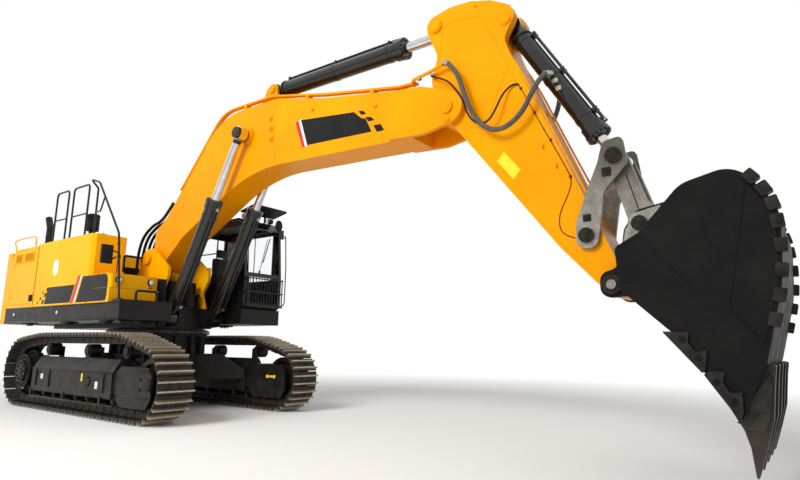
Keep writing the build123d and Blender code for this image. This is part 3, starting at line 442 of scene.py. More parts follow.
DRIVE = (-2.22, 0.66)
FRAME_HALF = 0.23
FIRST_ROLLER, ROLLER_GAP, ROLLER_Z = -1.56, 0.42, 0.30
CARRIER_Z = 1.094
SIDE_COVER = (0.55, 0.58)
fittings = bmesh.new()
for side in (-1, 1):
    middle = side * TRACK_Y
    for reach, ring, count, width in ((0.19, 0.27, 18, 0.034), (0.235, 0.16, 10, 0.03)):
        ring_of_bolts(fittings, at_y(DRIVE, middle + side * reach), (0, side, 0), ring, count, width)
    add_bar(fittings, at_y(DRIVE, middle + side * 0.23), at_y(DRIVE, middle + side * 0.248), 0.06, 32)
    for hand in (-1, 1):
        rail = middle + hand * (FRAME_HALF + 0.006)
        add_block(fittings, (-1.62, rail - 0.012, 0.205), (1.47, rail + 0.012, 0.243), 0.006)
        for x in (-1.62, -0.3, 1.02):
            add_block(fittings, (x - 0.03, rail - 0.01, 0.22), (x + 0.03, rail + 0.01, 0.36), 0.006)
        for i in range(8):
            roller = (FIRST_ROLLER + ROLLER_GAP * i, ROLLER_Z)
            end = middle + hand * 0.19
            for reach, radius, sides in ((0.018, 0.046, 20), (0.03, 0.02, 12)):
                add_bar(fittings, at_y(roller, end), at_y(roller, end + hand * reach), radius, sides)
            for offset in (-0.045, 0.045):
                add_bolt(fittings, (roller[0] + offset, end, 0.385), (0, hand, 0), 0.022)
    for x in (-1.35, 0.18, 1.5):
        add_bar(fittings, (x, middle + side * 0.10, CARRIER_Z), (x, middle + side * 0.125, CARRIER_Z),
                0.075, 28)
        ring_of_bolts(fittings, (x, middle + side * 0.118, CARRIER_Z), (0, side, 0), 0.052, 6, 0.016)
    outer = middle + side * 0.19
    add_block(fittings, (2.12, outer - 0.012, 0.50), (2.44, outer + 0.014, 0.70), 0.02)
    for z in (0.40, 0.80):
        add_block(fittings, (1.60, outer - 0.01, z - 0.02), (2.38, outer + 0.012, z + 0.02), 0.01)
    for x in (2.16, 2.40):
        for z in (0.53, 0.67):
            add_bolt(fittings, (x, outer + side * 0.01, z), (0, side, 0), 0.03)
    plate_y = middle + side * FRAME_HALF
    add_bar(fittings, at_y(SIDE_COVER, plate_y), at_y(SIDE_COVER, plate_y + side * 0.014), 0.09, 36)
    ring_of_bolts(fittings, at_y(SIDE_COVER, plate_y + side * 0.01), (0, side, 0), 0.072, 6, 0.018)
    for x in (-1.45, -0.9, 1.1):
        add_block(fittings, (x - 0.012, plate_y - 0.02, 0.42), (x + 0.012, plate_y + 0.012, 0.72), 0.004)
    add_block(fittings, (-1.62, plate_y - 0.02, 0.735), (1.33, plate_y + 0.01, 0.755), 0.006)
finish_piece(fittings, "undercarriage_fittings", "undercarriage", drive_cast)

# Sprocket segments. The toothed ring is bolted to its hub, and the teeth are worn bright by the
# chain's pins. It stands just proud of the drive's own ring.
toothed = bmesh.new()
for side in (-1, 1):
    for hand in (-1, 1):
        face = side * TRACK_Y + hand * 0.047
        ring_of_bolts(toothed, at_y(DRIVE, face), (0, hand, 0), 0.36, 20, 0.03)
    bmesh.ops.create_cone(toothed, cap_ends=False, segments=48, radius1=0.345, radius2=0.345, depth=0.1,
                          matrix=along_axis(at_y(DRIVE, side * TRACK_Y - 0.05),
                                            at_y(DRIVE, side * TRACK_Y + 0.05)))
finish_piece(toothed, "sprocket_bolts", "undercarriage", drive_cast)

# Blank plates on the track frames, screwed on where a real machine carries its notices: thin
# sheet with baked paint, cream or signal yellow, that takes a soft sheen.
def plain_finish(name, cell_mm, dark, light, roughness, glance=0.5, metal=0.0, grain=None, coat=None):
    """A finish that drifts between two shades over cells of this size. Its roughness is one number,
    or a cell size and two ends, its grain a cell size and depth, and its coat a weight and roughness."""
    made, tree, shader = new_material(name, glance)
    shade = blend_colours(tree, soft_noise(tree, cell_mm, 0.0, 1.0), linear(dark), linear(light))
    tree.links.new(shade, shader.inputs["Base Color"])
    if isinstance(roughness, tuple):
        tree.links.new(soft_noise(tree, *roughness), shader.inputs["Roughness"])
    else:
        shader.inputs["Roughness"].default_value = roughness
    shader.inputs["Metallic"].default_value = metal
    if grain:
        cell, depth_mm = grain
        raise_surface(tree, shader, soft_noise(tree, cell, 0.0, 1.0), depth_mm)
    if coat:
        shader.inputs["Coat Weight"].default_value, shader.inputs["Coat Roughness"].default_value = coat
    return made


pale_plate = plain_finish("painted_notice_plate", 40, "#d9d6cc", "#ece9df", 0.45)
signal_plate = plain_finish("signal_yellow_plate", 40, "#f3cf1e", "#ffe02e", 0.4)
PLATE_EDGE = 0.0015
notices = bmesh.new()
signals = bmesh.new()
for side in (-1, 1):
    skin = side * (TRACK_Y + FRAME_HALF)
    for shape, x, z, width, height in ((notices, -1.22, 0.60, 0.10, 0.09),
                                       (notices, 0.86, 0.53, 0.09, 0.12),
                                       (signals, 0.34, 0.64, 0.05, 0.13)):
        add_block(shape, (x - width / 2, skin - 0.004, z - height / 2),
                  (x + width / 2, skin + 0.004, z + height / 2), PLATE_EDGE)
    lug = side * (TRACK_Y - 0.19)
    add_block(signals, (1.98, lug - 0.006, 0.61), (2.14, lug + 0.006, 0.65), PLATE_EDGE)
    for x in (1.96, 2.16):
        add_bar(signals, (x, lug - 0.006, 0.63), (x, lug + 0.006, 0.63), 0.036, 8)
finish_piece(notices, "notice_plates", "undercarriage", pale_plate)
finish_piece(signals, "grease_point_marks", "undercarriage", signal_plate)

# Car body and swing bearing fittings. Ribs stiffen the ring seat, the bearing's bolts stand in
# two rings, and a cover plate closes the swivel's hatch.
SEAT_BOLTS, SEAT_RIBS = 40, 16
seat = bmesh.new()
for i in range(SEAT_BOLTS):
    angle = 2 * pi * i / SEAT_BOLTS
    for ring, z, way in ((0.915, 1.485, 1), (0.90, 1.415, -1)):
        add_bolt(seat, (ring * cos(angle), ring * sin(angle), z), (0, 0, way), 0.03)
for i in range(SEAT_RIBS):
    turned = Matrix.Rotation(2 * pi * (i + 0.5) / SEAT_RIBS, 4, "Z")
    add_block(seat, (0.79, -0.012, 1.03), (0.885, 0.012, 1.41), 0.004, turned)
for end in (-1, 1):
    add_block(seat, (end * 0.765, -0.26, 0.72), (end * 0.775, 0.26, 0.98), 0.004)
    for y in (-0.22, 0, 0.22):
        for z in (0.755, 0.945):
            add_bolt(seat, (end * 0.775, y, z), (end, 0, 0), 0.024)
finish_piece(seat, "bearing_seat_fittings", "undercarriage", chassis_paint)

# Swing bearing ring: forged steel, machined and oiled, brighter than the painted frames. It is
# bolted between the car body and the upper frame, and a seal lies in its joint.
ring_steel = plain_finish("oiled_ring_steel", 60, "#2b2a29", "#45423e", (35, 0.22, 0.45), metal=0.8)
collar = bmesh.new()
bmesh.ops.create_cone(collar, cap_ends=False, segments=96, radius1=0.964, radius2=0.964, depth=0.03,
                      matrix=Matrix.Translation((0, 0, 1.45)))
bmesh.ops.solidify(collar, geom=collar.faces[:], thickness=0.006)
finish_piece(collar, "bearing_seal_ring", "undercarriage", ring_steel)

# Upper frame: welded plate under satin black enamel, with round hole covers along the skirts
# and pressed tread on the decks. It stays cleaner than the undercarriage.
frame_black, tree, shader = new_material("frame_black_enamel", 0.2)
enamel = blend_colours(tree, soft_noise(tree, 320, 0.0, 1.0), linear("#0e0e0f"), linear("#19191a"))
tree.links.new(blend_colours(tree, dust_share(tree, 1.5, 2.4, 0.16), enamel, DUST),
               shader.inputs["Base Color"])
tree.links.new(soft_noise(tree, 150, 0.26, 0.42), shader.inputs["Roughness"])
raise_surface(tree, shader, soft_noise(tree, 7, 0.0, 1.0), 0.12)
dress(frame_black, "revolving_frame", "access_steps", "valve_cover")

DECK_Z = 1.92
SKIRT_Z = 1.62
BODY_Y = 1.6
skirts = bmesh.new()
for side in (-1, 1):
    skin = side * BODY_Y
    for z in (SKIRT_Z + 0.014, DECK_Z - 0.012):
        front = 1.4 if side < 0 else 1.7
        add_block(skirts, (-3.3, skin - 0.01, z - 0.012), (front, skin + 0.01, z + 0.012), 0.005)
    for x in (-2.9, -1.1, 0.4):
        add_block(skirts, (x - 0.16, side * 1.25 - 0.10, SKIRT_Z - 0.03),
                  (x + 0.16, side * 1.25 + 0.10, SKIRT_Z + 0.01), 0.006)
        for offset in (-0.1, 0, 0.1):
            add_bolt(skirts, (x + offset, side * 1.25, SKIRT_Z - 0.03), (0, 0, -1), 0.04)
finish_piece(skirts, "skirt_edges", "upperstructure", frame_black)

covers = bmesh.new()
for hole in ((-2.84, 1.785), (-0.87, 1.785)):
    for side in (-1, 1):
        add_bar(covers, at_y(hole, side * BODY_Y), at_y(hole, side * (BODY_Y + 0.008)), 0.03, 24)
finish_piece(covers, "skirt_hole_caps", "upperstructure", pale_plate)

# Tread plate on the decks and steps: rolled steel with raised lozenges, painted black, its
# high points rubbed to bare metal by boots.
tread_steel, tree, shader = new_material("rolled_tread_plate", 0.25)
place = add_node(tree, "ShaderNodeTexCoord")
TREAD_MM = 34
lozenges = add_node(tree, "ShaderNodeTexVoronoi", {"Vector": place.outputs["Object"],
                                                   "Scale": 1000 / TREAD_MM, "Randomness": 0.15})
raised = add_node(tree, "ShaderNodeMapRange", {"Value": lozenges.outputs["Distance"],
                                               "From Min": 0.2, "From Max": 0.38,
                                               "To Min": 1.0, "To Max": 0.0})
tree.links.new(blend_colours(tree, raised.outputs[0], linear("#141414"), linear("#4a4845")),
               shader.inputs["Base Color"])
shader.inputs["Roughness"].default_value = 0.42
raise_surface(tree, shader, raised.outputs[0], 2.0)
decks = bmesh.new()
add_block(decks, (1.0, -1.59, DECK_Z), (1.13, -0.66, DECK_Z + 0.008), 0.003)
add_block(decks, (1.135, -1.59, DECK_Z + 0.03), (1.395, -0.63, DECK_Z + 0.038), 0.003)
add_block(decks, (-0.64, 0.66, DECK_Z), (-0.17, 1.59, DECK_Z + 0.008), 0.003)
add_block(decks, (-1.95, -1.57, 3.2), (0.18, -0.98, 3.207), 0.003)
add_block(decks, (-1.9, -0.9, 2.76), (-0.7, 0.5, 2.767), 0.003)
finish_piece(decks, "tread_plates", "upperstructure", tread_steel)

# Body panels: pressed steel sheet under baked yellow enamel, smooth and glossy with a slight
# orange peel. Low panels carry a thin haze of dust, and edges stay clean.
def yellow_enamel(name, deep, bright, peel_mm):
    """Yellow enamel between two shades, with orange peel of this depth in millimetres."""
    made, tree, shader = new_material(name, 0.08)
    coat = blend_colours(tree, soft_noise(tree, 900, 0.0, 1.0, 2.0), linear(deep), linear(bright))
    hazed = blend_colours(tree, dust_share(tree, 1.6, 3.0, 0.07), coat, linear("#c4922a"))
    tree.links.new(hazed, shader.inputs["Base Color"])
    tree.links.new(soft_noise(tree, 400, 0.26, 0.36), shader.inputs["Roughness"])
    shader.inputs["Coat Weight"].default_value = 0.05
    shader.inputs["Coat Roughness"].default_value = 0.08
    raise_surface(tree, shader, soft_noise(tree, 4, 0.0, 1.0), peel_mm)
    return made


panel_yellow = yellow_enamel("panel_yellow_enamel", "#faaf02", "#fdb903", 0.02)
cast_yellow = yellow_enamel("casting_yellow_enamel", "#f8ac02", "#fcb604", 0.35)
dress(panel_yellow, "engine_housing", "rear_door_left", "rear_door_right", "left_housing",
      "left_front_door", "tank_housing", "tool_box", "tool_box_lid")
dress(cast_yellow, "counterweight", "boom_foot_brackets")

# Seams, seals and small black trim: moulded rubber and black-coated steel, matt. Rubber strips
# are pressed into the gaps between the housings.
seal_black = plain_finish("moulded_seal_rubber", 80, "#0c0c0c", "#1a1a1a", 0.6, 0.2, grain=(3, 0.05))

ENGINE_TOP = 3.17
TANK_TOP = 3.2
seams = bmesh.new()
for side in (-1, 1):
    skin = side * BODY_Y
    add_bar(seams, (-2.0, skin, 1.93), (-2.0, skin, ENGINE_TOP - 0.01), 0.007, 8)
add_bar(seams, (-2.0, -1.59, ENGINE_TOP), (-2.0, -0.95, ENGINE_TOP), 0.009, 8)
add_bar(seams, (0.25, -1.12, 2.43), (0.25, -1.12, 3.19), 0.007, 8)
finish_piece(seams, "panel_seams", "upperstructure", seal_black)

# Louvres: rows of pressed slats in black-backed openings, high on the sides of the engine
# housing and on the left housing's door, where cooling air goes in.
def add_louvres(shape, backs, x_span, y, z_span, side, count):
    """A black field with sloping slats over it on a side panel."""
    add_block(backs, (x_span[0], y, z_span[0]), (x_span[1], y + side * 0.003, z_span[1]))
    rise = (z_span[1] - z_span[0]) / count
    for i in range(count):
        z = z_span[0] + rise * (i + 0.5)
        tilt = Matrix.Translation((0, y + side * 0.006, z)) @ Matrix.Rotation(side * 0.7, 4, "X")
        add_block(shape, (x_span[0] - 0.006, -0.012, -0.002), (x_span[1] + 0.006, 0.012, 0.002),
                  0.0, tilt)
    for x in x_span:
        add_block(shape, (x - 0.008, y, z_span[0] - 0.01),
                  (x + 0.008, y + side * 0.014, z_span[1] + 0.01), 0.003)
    for z in z_span:
        add_block(shape, (x_span[0] - 0.008, y, z - 0.008),
                  (x_span[1] + 0.008, y + side * 0.014, z + 0.008), 0.003)


LOUVRE_Z = (2.87, 3.05)
for side, hand in ((-1, "right"), (1, "left")):
    louvre_slats = bmesh.new()
    louvre_backs = bmesh.new()
    for x_span in ((-3.08, -2.76), (-2.63, -2.19)):
        add_louvres(louvre_slats, louvre_backs, x_span, side * BODY_Y, LOUVRE_Z, side, 10)
    finish_piece(louvre_slats, f"rear_louvres_{hand}", f"rear_{hand}_body", panel_yellow)
    finish_piece(louvre_backs, f"rear_louvre_backs_{hand}", f"rear_{hand}_body", seal_black)
front_slats = bmesh.new()
front_backs = bmesh.new()
for x_span in ((-1.84, -1.42), (-1.28, -0.86)):
    add_louvres(front_slats, front_backs, x_span, BODY_Y, (2.2, 2.76), 1, 26)
finish_piece(front_slats, "left_door_louvres", "left_door_body", panel_yellow)
finish_piece(front_backs, "left_door_louvre_backs", "left_door_body", seal_black)

# Door furniture: a pressed black latch in three steps, low on each door's free edge, and two
# strap hinges in the panels' yellow, each held by a pair of bolts.
for name, body, hinge_x, latch_x, side, levels in (
        ("rear_right_door", "rear_right_body", -3.19, -2.13, -1, (2.15, 2.82)),
        ("rear_left_door", "rear_left_body", -3.19, -2.13, 1, (2.15, 2.82)),
        ("left_door", "left_door_body", -1.90, -0.87, 1, (2.1, 2.8))):
    furniture = bmesh.new()
    skin = side * BODY_Y
    for reach, half_x, half_z in ((0.008, 0.09, 0.066), (0.014, 0.075, 0.05), (0.022, 0.03, 0.038)):
        add_block(furniture, (latch_x - half_x, skin, 2.105 - half_z),
                  (latch_x + half_x, skin + side * reach, 2.105 + half_z), 0.004)
    finish_piece(furniture, f"{name}_latch", body, seal_black)
    hinges = bmesh.new()
    for z in levels:
        add_block(hinges, (hinge_x + 0.015, skin, z - 0.03),
                  (hinge_x + 0.10, skin + side * 0.008, z + 0.03), 0.003)
        for x in (0.035, 0.075):
            add_bolt(hinges, (hinge_x + x, skin + side * 0.007, z), (0, side, 0), 0.016)
    finish_piece(hinges, f"{name}_hinges", body, panel_yellow)

# Side markings: bands of tape film on the tank and tool box, with no lettering. A black band
# fades rearwards in squares, a red and a white bar slant beside it, and a black panel closes it.
# The pale oval above them is left blank.
tape_black = plain_finish("black_tape_film", 300, "#0d0d0e", "#161617", 0.34, 0.2)
tape_red = plain_finish("red_tape_film", 300, "#d01f26", "#e0282e", 0.34, 0.3)
tape_white = plain_finish("white_tape_film", 300, "#e6e6e4", "#f2f2f0", 0.34)
TAPE_THICK = 0.0025


def add_tape(shape, points, y):
    """A film with this outline of (x, z) points, on a side face at this distance across."""
    add_outline(shape, points, y - TAPE_THICK, y + TAPE_THICK)


black_band = bmesh.new()
add_tape(black_band, ((-1.48, 1.955), (-0.40, 1.955), (-0.27, 2.28), (-1.36, 2.28)), -BODY_Y)
for x, z, size in ((-1.60, 1.965, 0.08), (-1.52, 2.10, 0.08), (-1.44, 2.215, 0.065), (-1.70, 2.04, 0.06),
                   (-1.61, 2.16, 0.05), (-1.80, 1.97, 0.045)):
    add_tape(black_band, ((x, z), (x + size, z), (x + 1.4 * size, z + size), (x + 0.4 * size, z + size)),
             -BODY_Y)
add_tape(black_band, ((-0.17, 1.945), (0.25, 1.945), (0.25, 2.414), (0.01, 2.414)), -BODY_Y)
finish_piece(black_band, "side_band_black", "upperstructure", tape_black)
SIGN_CENTRE = (-1.144, 2.654)
SIGN_OVAL = [(SIGN_CENTRE[0] + 0.115 * cos(i * pi / 16), SIGN_CENTRE[1] + 0.155 * sin(i * pi / 16))
             for i in range(32)]
for name, body, film, outline in (
        ("side_bar_red", "upperstructure", tape_red,
         ((-0.385, 1.935), (-0.275, 1.935), (-0.075, 2.44), (-0.175, 2.44))),
        ("side_bar_white", "upperstructure", tape_white,
         ((-0.262, 1.935), (-0.225, 1.935), (-0.025, 2.44), (-0.062, 2.44))),
        ("side_oval_blank", "upperstructure", tape_white, SIGN_OVAL),
        ("tool_box_band_black", "upperstructure", tape_black,
         ((0.246, 1.945), (0.90, 1.945), (0.93, 2.02), (0.935, 2.168), (0.246, 2.168))),
        ("lid_band_black", "lid_body", tape_black,
         ((0.457, 2.178), (0.935, 2.178), (0.93, 2.33), (0.88, 2.395), (0.82, 2.414), (0.457, 2.414))),
        ("box_band_upper", "upperstructure", tape_black,
         ((0.246, 2.168), (0.449, 2.168), (0.449, 2.414), (0.246, 2.414)))):
    band = bmesh.new()
    add_tape(band, outline, -BODY_Y)
    finish_piece(band, name, body, film)

# Tank fittings: a filler under a locked cap with a strainer neck, a level glass on the front
# face, and a rubber strip along the roof's edge.
FILLER_X, FILLER_Y = -0.25, -1.2
tank = bmesh.new()
for rise, height, radius in ((0, 0.06, 0.09), (0.06, 0.085, 0.075)):
    add_bar(tank, (FILLER_X, FILLER_Y, TANK_TOP + rise), (FILLER_X, FILLER_Y, TANK_TOP + height),
            radius, 36)
add_block(tank, (FILLER_X - 0.03, FILLER_Y - 0.01, TANK_TOP + 0.085),
          (FILLER_X + 0.03, FILLER_Y + 0.01, TANK_TOP + 0.105), 0.004)
add_block(tank, (0.25, -1.02, 2.55), (0.268, -0.98, 2.85), 0.004)
for z in (2.56, 2.84):
    add_bar(tank, (0.255, -1.0, z), (0.28, -1.0, z), 0.018, 6)
finish_piece(tank, "tank_fittings", "upperstructure", seal_black)

# Tool box lamps: fluted clear lenses over bright reflectors, set in black bezels that are sunk
# in the lid's front, each with a small black pull below it.
lamp_glass, tree, shader = new_material("clear_lamp_lens")
flutes = add_node(tree, "ShaderNodeTexWave", {"Vector": add_node(
    tree, "ShaderNodeTexCoord").outputs["Object"], "Scale": 25.0}, bands_direction="Y")
tree.links.new(blend_colours(tree, flutes.outputs["Fac"], linear("#cfd6dc"), linear("#f4f7fa")),
               shader.inputs["Base Color"])
shader.inputs["Roughness"].default_value = 0.08
shader.inputs["Metallic"].default_value = 0.4
shader.inputs["Coat Weight"].default_value = 0.8
raise_surface(tree, shader, flutes.outputs["Fac"], 0.6)
TOOL_FRONT = 1.0
LAMP_Z = 2.31
lid_lenses = bmesh.new()
lid_bezels = bmesh.new()
for y in (-1.45, -0.86):
    bmesh.ops.create_uvsphere(lid_lenses, u_segments=32, v_segments=16, radius=0.05,
                              matrix=Matrix.Translation((TOOL_FRONT + 0.036, y, LAMP_Z))
                              @ Matrix.Diagonal((0.36, 1, 1, 1)))
    bmesh.ops.create_cone(lid_bezels, cap_ends=False, segments=40, radius1=0.062, radius2=0.056,
                          depth=0.05, matrix=along_axis((TOOL_FRONT - 0.004, y, LAMP_Z),
                                                        (TOOL_FRONT + 0.046, y, LAMP_Z)))
    add_block(lid_bezels, (TOOL_FRONT, y - 0.03, 2.205), (TOOL_FRONT + 0.008, y + 0.03, 2.225), 0.003)
bmesh.ops.solidify(lid_bezels, geom=lid_bezels.faces[:], thickness=0.002)
finish_piece(lid_lenses, "tool_box_lenses", "lid_body", lamp_glass)
finish_piece(lid_bezels, "tool_box_bezels", "lid_body", seal_black)

# Engine hood and roof: the hood is black, with a raised grille over the fan, and sits in the
# yellow roof. Two cast lifting eyes stand on the counterweight behind it.
moulded_black = plain_finish("moulded_black_plastic", 200, "#131314", "#202021", (60, 0.42, 0.58), 0.2,
                             grain=(2.5, 0.06))
dress(moulded_black, "engine_hood", "centre_cover", "precleaner", "right_mirror", "cab_consoles",
      "cab_visor")
GRILLE_Z = 3.262
GRILLE_BARS = 24
hood = bmesh.new()
add_block(hood, (-2.78, -0.62, 3.236), (-2.28, 0.62, GRILLE_Z), 0.008)
for i in range(GRILLE_BARS):
    x = -2.74 + 0.42 * i / (GRILLE_BARS - 1)
    add_block(hood, (x - 0.005, -0.56, GRILLE_Z), (x + 0.005, 0.56, GRILLE_Z + 0.012), 0.002)
for y in (-0.5, 0, 0.5):
    add_block(hood, (-2.80, y - 0.012, GRILLE_Z), (-2.26, y + 0.012, GRILLE_Z + 0.01), 0.003)
for y in (-0.70, 0.70):
    add_bar(hood, (-2.10, y, 3.20), (-2.075, y, 3.20), 0.02, 12)
    add_block(hood, (-2.928, y - 0.05, 3.182), (-2.895, y + 0.05, 3.240), 0.006)
finish_piece(hood, "engine_hood_grille", "hood_body", moulded_black)

weight = bmesh.new()
for y in (-0.95, 0.95):
    add_outline(weight, ((-3.86, 3.10), (-3.54, 3.10), (-3.60, 3.22), (-3.80, 3.22)), y - 0.03, y + 0.03,
                0.02, 2)
for y in (-0.62, 0.62):
    add_block(weight, (-4.004, y - 0.009, 1.62), (-3.96, y + 0.009, 3.10), 0.003)
add_block(weight, (-4.006, -0.5, 2.42), (-3.97, 0.5, 2.75), 0.02)
finish_piece(weight, "counterweight_castings", "upperstructure", cast_yellow)

# Roof rail and hand rails: bent steel tube, the low rail along the hood yellow and the high
# ones black, each foot welded on a flange with two bolts.
rail_paint = plain_finish("rail_black_enamel", 120, "#111112", "#1e1e1f", 0.3, 0.3, coat=(0.2, 0.03))
dress(rail_paint, "handrails")


def add_pipe(shape, points, radius, sides=3, span=6):
    """A round pipe or hose along a smooth curve through a few points."""
    route = bpy.data.curves.new("route", "CURVE")
    route.dimensions = "3D"
    line = route.splines.new("NURBS")
    line.points.add(len(points) - 1)
    for spot, point in zip(line.points, points):
        spot.co = (*point, 1.0)
    line.order_u = 3
    line.use_endpoint_u = True
    line.resolution_u = span
    route.bevel_depth = radius
    route.bevel_resolution = sides
    route.use_fill_caps = True
    holder = bpy.data.objects.new("route", route)
    mesh = bpy.data.meshes.new_from_object(holder)
    shape.from_mesh(mesh)
    bpy.data.objects.remove(holder)
    bpy.data.curves.remove(route)
    bpy.data.meshes.remove(mesh)


ROOF_RAIL_Y = -1.55
ROOF_RAIL_ROUTE = ((-3.28, 3.02), (-3.28, 3.24), (-3.45, 3.38), (-3.30, 3.42), (-2.55, 3.42),
                   (-2.34, 3.40), (-2.33, 3.24), (-2.33, 3.165))
roof_rail = bmesh.new()
add_pipe(roof_rail, [at_y(place, ROOF_RAIL_Y) for place in ROOF_RAIL_ROUTE], 0.014)
finish_piece(roof_rail, "roof_edge_rail", "upperstructure", panel_yellow)
FLANGE_TOP = TANK_TOP + 0.012
POST_LEAN = 0.195
rail_feet = bmesh.new()
for x in (-1.93, -1.41, -1.19, -0.56, -0.2):
    add_block(rail_feet, (x - 0.05, -1.445, TANK_TOP), (x + 0.05, -1.355, FLANGE_TOP), 0.003)
    for y in (-1.43, -1.37):
        add_bolt(rail_feet, (x + 0.035, y, FLANGE_TOP), (0, 0, 1), 0.016)
for z in (2.3, 2.9):
    add_bar(rail_feet, (1.265 - (z - 1.965) * POST_LEAN, -1.55, z),
            (1.265 - (z - 1.925) * POST_LEAN, -1.55, z + 0.04), 0.024, 16)
finish_piece(rail_feet, "rail_feet", "upperstructure", rail_paint)

# Exhaust stack and pre-cleaner. The stack is a bent steel pipe, browned by heat, on a bolted
# flange and with two bands. The pre-cleaner is a ribbed plastic bowl clamped on the air intake.
burnt_steel = plain_finish("heat_browned_steel", 70, "#1c1815", "#3c332c", (40, 0.45, 0.65), metal=0.6,
                           grain=(5, 0.2))
dress(burnt_steel, "exhaust_stack")
STACK_X, STACK_Y = -3.0, -1.05
stack = bmesh.new()
for z, thick, radius in ((ENGINE_TOP, 0.02, 0.125), (3.36, 0.022, 0.076), (3.52, 0.022, 0.076)):
    add_bar(stack, (STACK_X, STACK_Y, z), (STACK_X, STACK_Y, z + thick), radius, 32)
for i in range(6):
    angle = 2 * pi * i / 6
    add_bolt(stack, (STACK_X + 0.105 * cos(angle), STACK_Y + 0.105 * sin(angle), ENGINE_TOP + 0.02),
             (0, 0, 1), 0.02)
finish_piece(stack, "exhaust_flange", "upperstructure", burnt_steel)
CLEANER_X, CLEANER_Y = -0.7, -1.2
cleaner = bmesh.new()
for z in (3.44, 3.50, 3.56, 3.62, 3.68):
    add_bar(cleaner, (CLEANER_X, CLEANER_Y, z), (CLEANER_X, CLEANER_Y, z + 0.014), 0.121, 40)
for z, thick, radius in ((3.32, 0.025, 0.066), (3.72, 0.015, 0.09)):
    add_bar(cleaner, (CLEANER_X, CLEANER_Y, z), (CLEANER_X, CLEANER_Y, z + thick), radius, 32)
add_block(cleaner, (CLEANER_X + 0.055, CLEANER_Y - 0.02, 3.315),
          (CLEANER_X + 0.09, CLEANER_Y + 0.02, 3.35), 0.004)
finish_piece(cleaner, "precleaner_ribs", "upperstructure", moulded_black)

# Right mirror: silvered glass in a moulded housing, facing the cab. A bent tube carries it from
# a clamp on the hand rail.
mirror_glass = plain_finish("silvered_glass", 500, "#b9c2c8", "#c9d2d8", 0.05, metal=1.0)
pane = bmesh.new()
add_block(pane, (1.034, -1.815, 2.575), (1.041, -1.655, 2.865), 0.0025)
finish_piece(pane, "right_mirror_glass", "upperstructure", mirror_glass)
housing = bmesh.new()
add_block(housing, (1.038, -1.825, 2.57), (1.07, -1.645, 2.87), 0.012)
add_block(housing, (1.06, -1.81, 2.59), (1.094, -1.66, 2.85), 0.012)
for z in (2.66, 2.78):
    add_block(housing, (1.088, -1.77, z - 0.008), (1.097, -1.70, z + 0.008), 0.003)
add_pipe(housing, ((1.09, -1.67, 2.78), (1.12, -1.63, 2.78), (1.125, -1.58, 2.76),
                   (1.11, -1.555, 2.75)), 0.012)
add_bar(housing, (1.130, -1.55, 2.66), (1.118, -1.55, 2.72), 0.027, 16)
finish_piece(housing, "right_mirror_housing", "upperstructure", moulded_black)

# Cab: pressed steel shell in near-black enamel round large panes of clear glass set in rubber.
# The door hangs on two hinges at its rear edge and has a sliding pane and a pull handle.
cab_black = plain_finish("cab_black_enamel", 500, "#121214", "#1b1b1d", (200, 0.22, 0.34), 0.25,
                         coat=(0.4, 0.1))
dress(cab_black, "cab_shell", "cab_door")
clear_glass, tree, shader = new_material("clear_toughened_glass")
tree.links.new(blend_colours(tree, soft_noise(tree, 700, 0.0, 1.0), linear("#fafcfc"),
                             linear("#fdfefe")), shader.inputs["Base Color"])
shader.inputs["Roughness"].default_value = 0.02
shader.inputs["IOR"].default_value = 1.1
shader.inputs["Transmission Weight"].default_value = 1.0
dress(clear_glass, "cab_glass", "door_glass")

CAB_INNER, CAB_OUTER, CAB_NOSE = 0.64, 1.58, 1.72
ROOF_Z = 3.75
SILL_Z = 2.56
SEAL_RADIUS = 0.009


def seal_pane(shape, x_span, y, z_span):
    """A rubber bead round a pane in a side face."""
    for z in z_span:
        add_bar(shape, (x_span[0], y, z), (x_span[1], y, z), SEAL_RADIUS, 8)
    for x in x_span:
        add_bar(shape, (x, y, z_span[0]), (x, y, z_span[1]), SEAL_RADIUS, 8)


trims = bmesh.new()
for seal in (((1.745, 2.05), (1.752, 2.205), (1.742, 2.56)),
             ((1.738, 2.64), (1.752, 3.0), (1.66, 3.56))):
    for y in (CAB_INNER + 0.075, CAB_OUTER - 0.075):
        add_pipe(trims, [at_y(place, y) for place in seal], SEAL_RADIUS)
seal_pane(trims, (0.15, 1.56), CAB_INNER - 0.002, (SILL_Z, 3.60))
for z in (2.70, 3.56):
    add_bar(trims, (-0.152, CAB_INNER + 0.075, z), (-0.152, CAB_OUTER - 0.075, z), SEAL_RADIUS, 8)
add_bar(trims, (0.82, CAB_INNER - 0.002, SILL_Z), (0.82, CAB_INNER - 0.002, 3.60), 0.014, 10)
add_block(trims, (0.15, CAB_INNER - 0.006, 3.06), (0.82, CAB_INNER + 0.002, 3.085), 0.003)
finish_piece(trims, "cab_window_seals", "upperstructure", seal_black)
HINGE_X = 0.128
door_trim = bmesh.new()
seal_pane(door_trim, (0.21, 1.47), CAB_OUTER + 0.001, (SILL_Z, 3.53))
add_block(door_trim, (0.84, CAB_OUTER - 0.004, SILL_Z), (0.862, CAB_OUTER + 0.006, 3.53), 0.003)
add_block(door_trim, (1.30, CAB_OUTER - 0.002, 2.36), (1.47, CAB_OUTER + 0.012, 2.44), 0.006)
add_pipe(door_trim, ((1.33, CAB_OUTER + 0.01, 2.40), (1.34, CAB_OUTER + 0.03, 2.40),
                     (1.43, CAB_OUTER + 0.03, 2.40), (1.44, CAB_OUTER + 0.01, 2.40)), 0.008)
for z in (2.15, 3.4):
    add_bar(door_trim, (HINGE_X, CAB_OUTER + 0.012, z - 0.05), (HINGE_X, CAB_OUTER + 0.012, z + 0.05),
            0.013, 16)
    add_block(door_trim, (HINGE_X, CAB_OUTER - 0.002, z - 0.035), (0.22, CAB_OUTER + 0.008, z + 0.035),
              0.003)
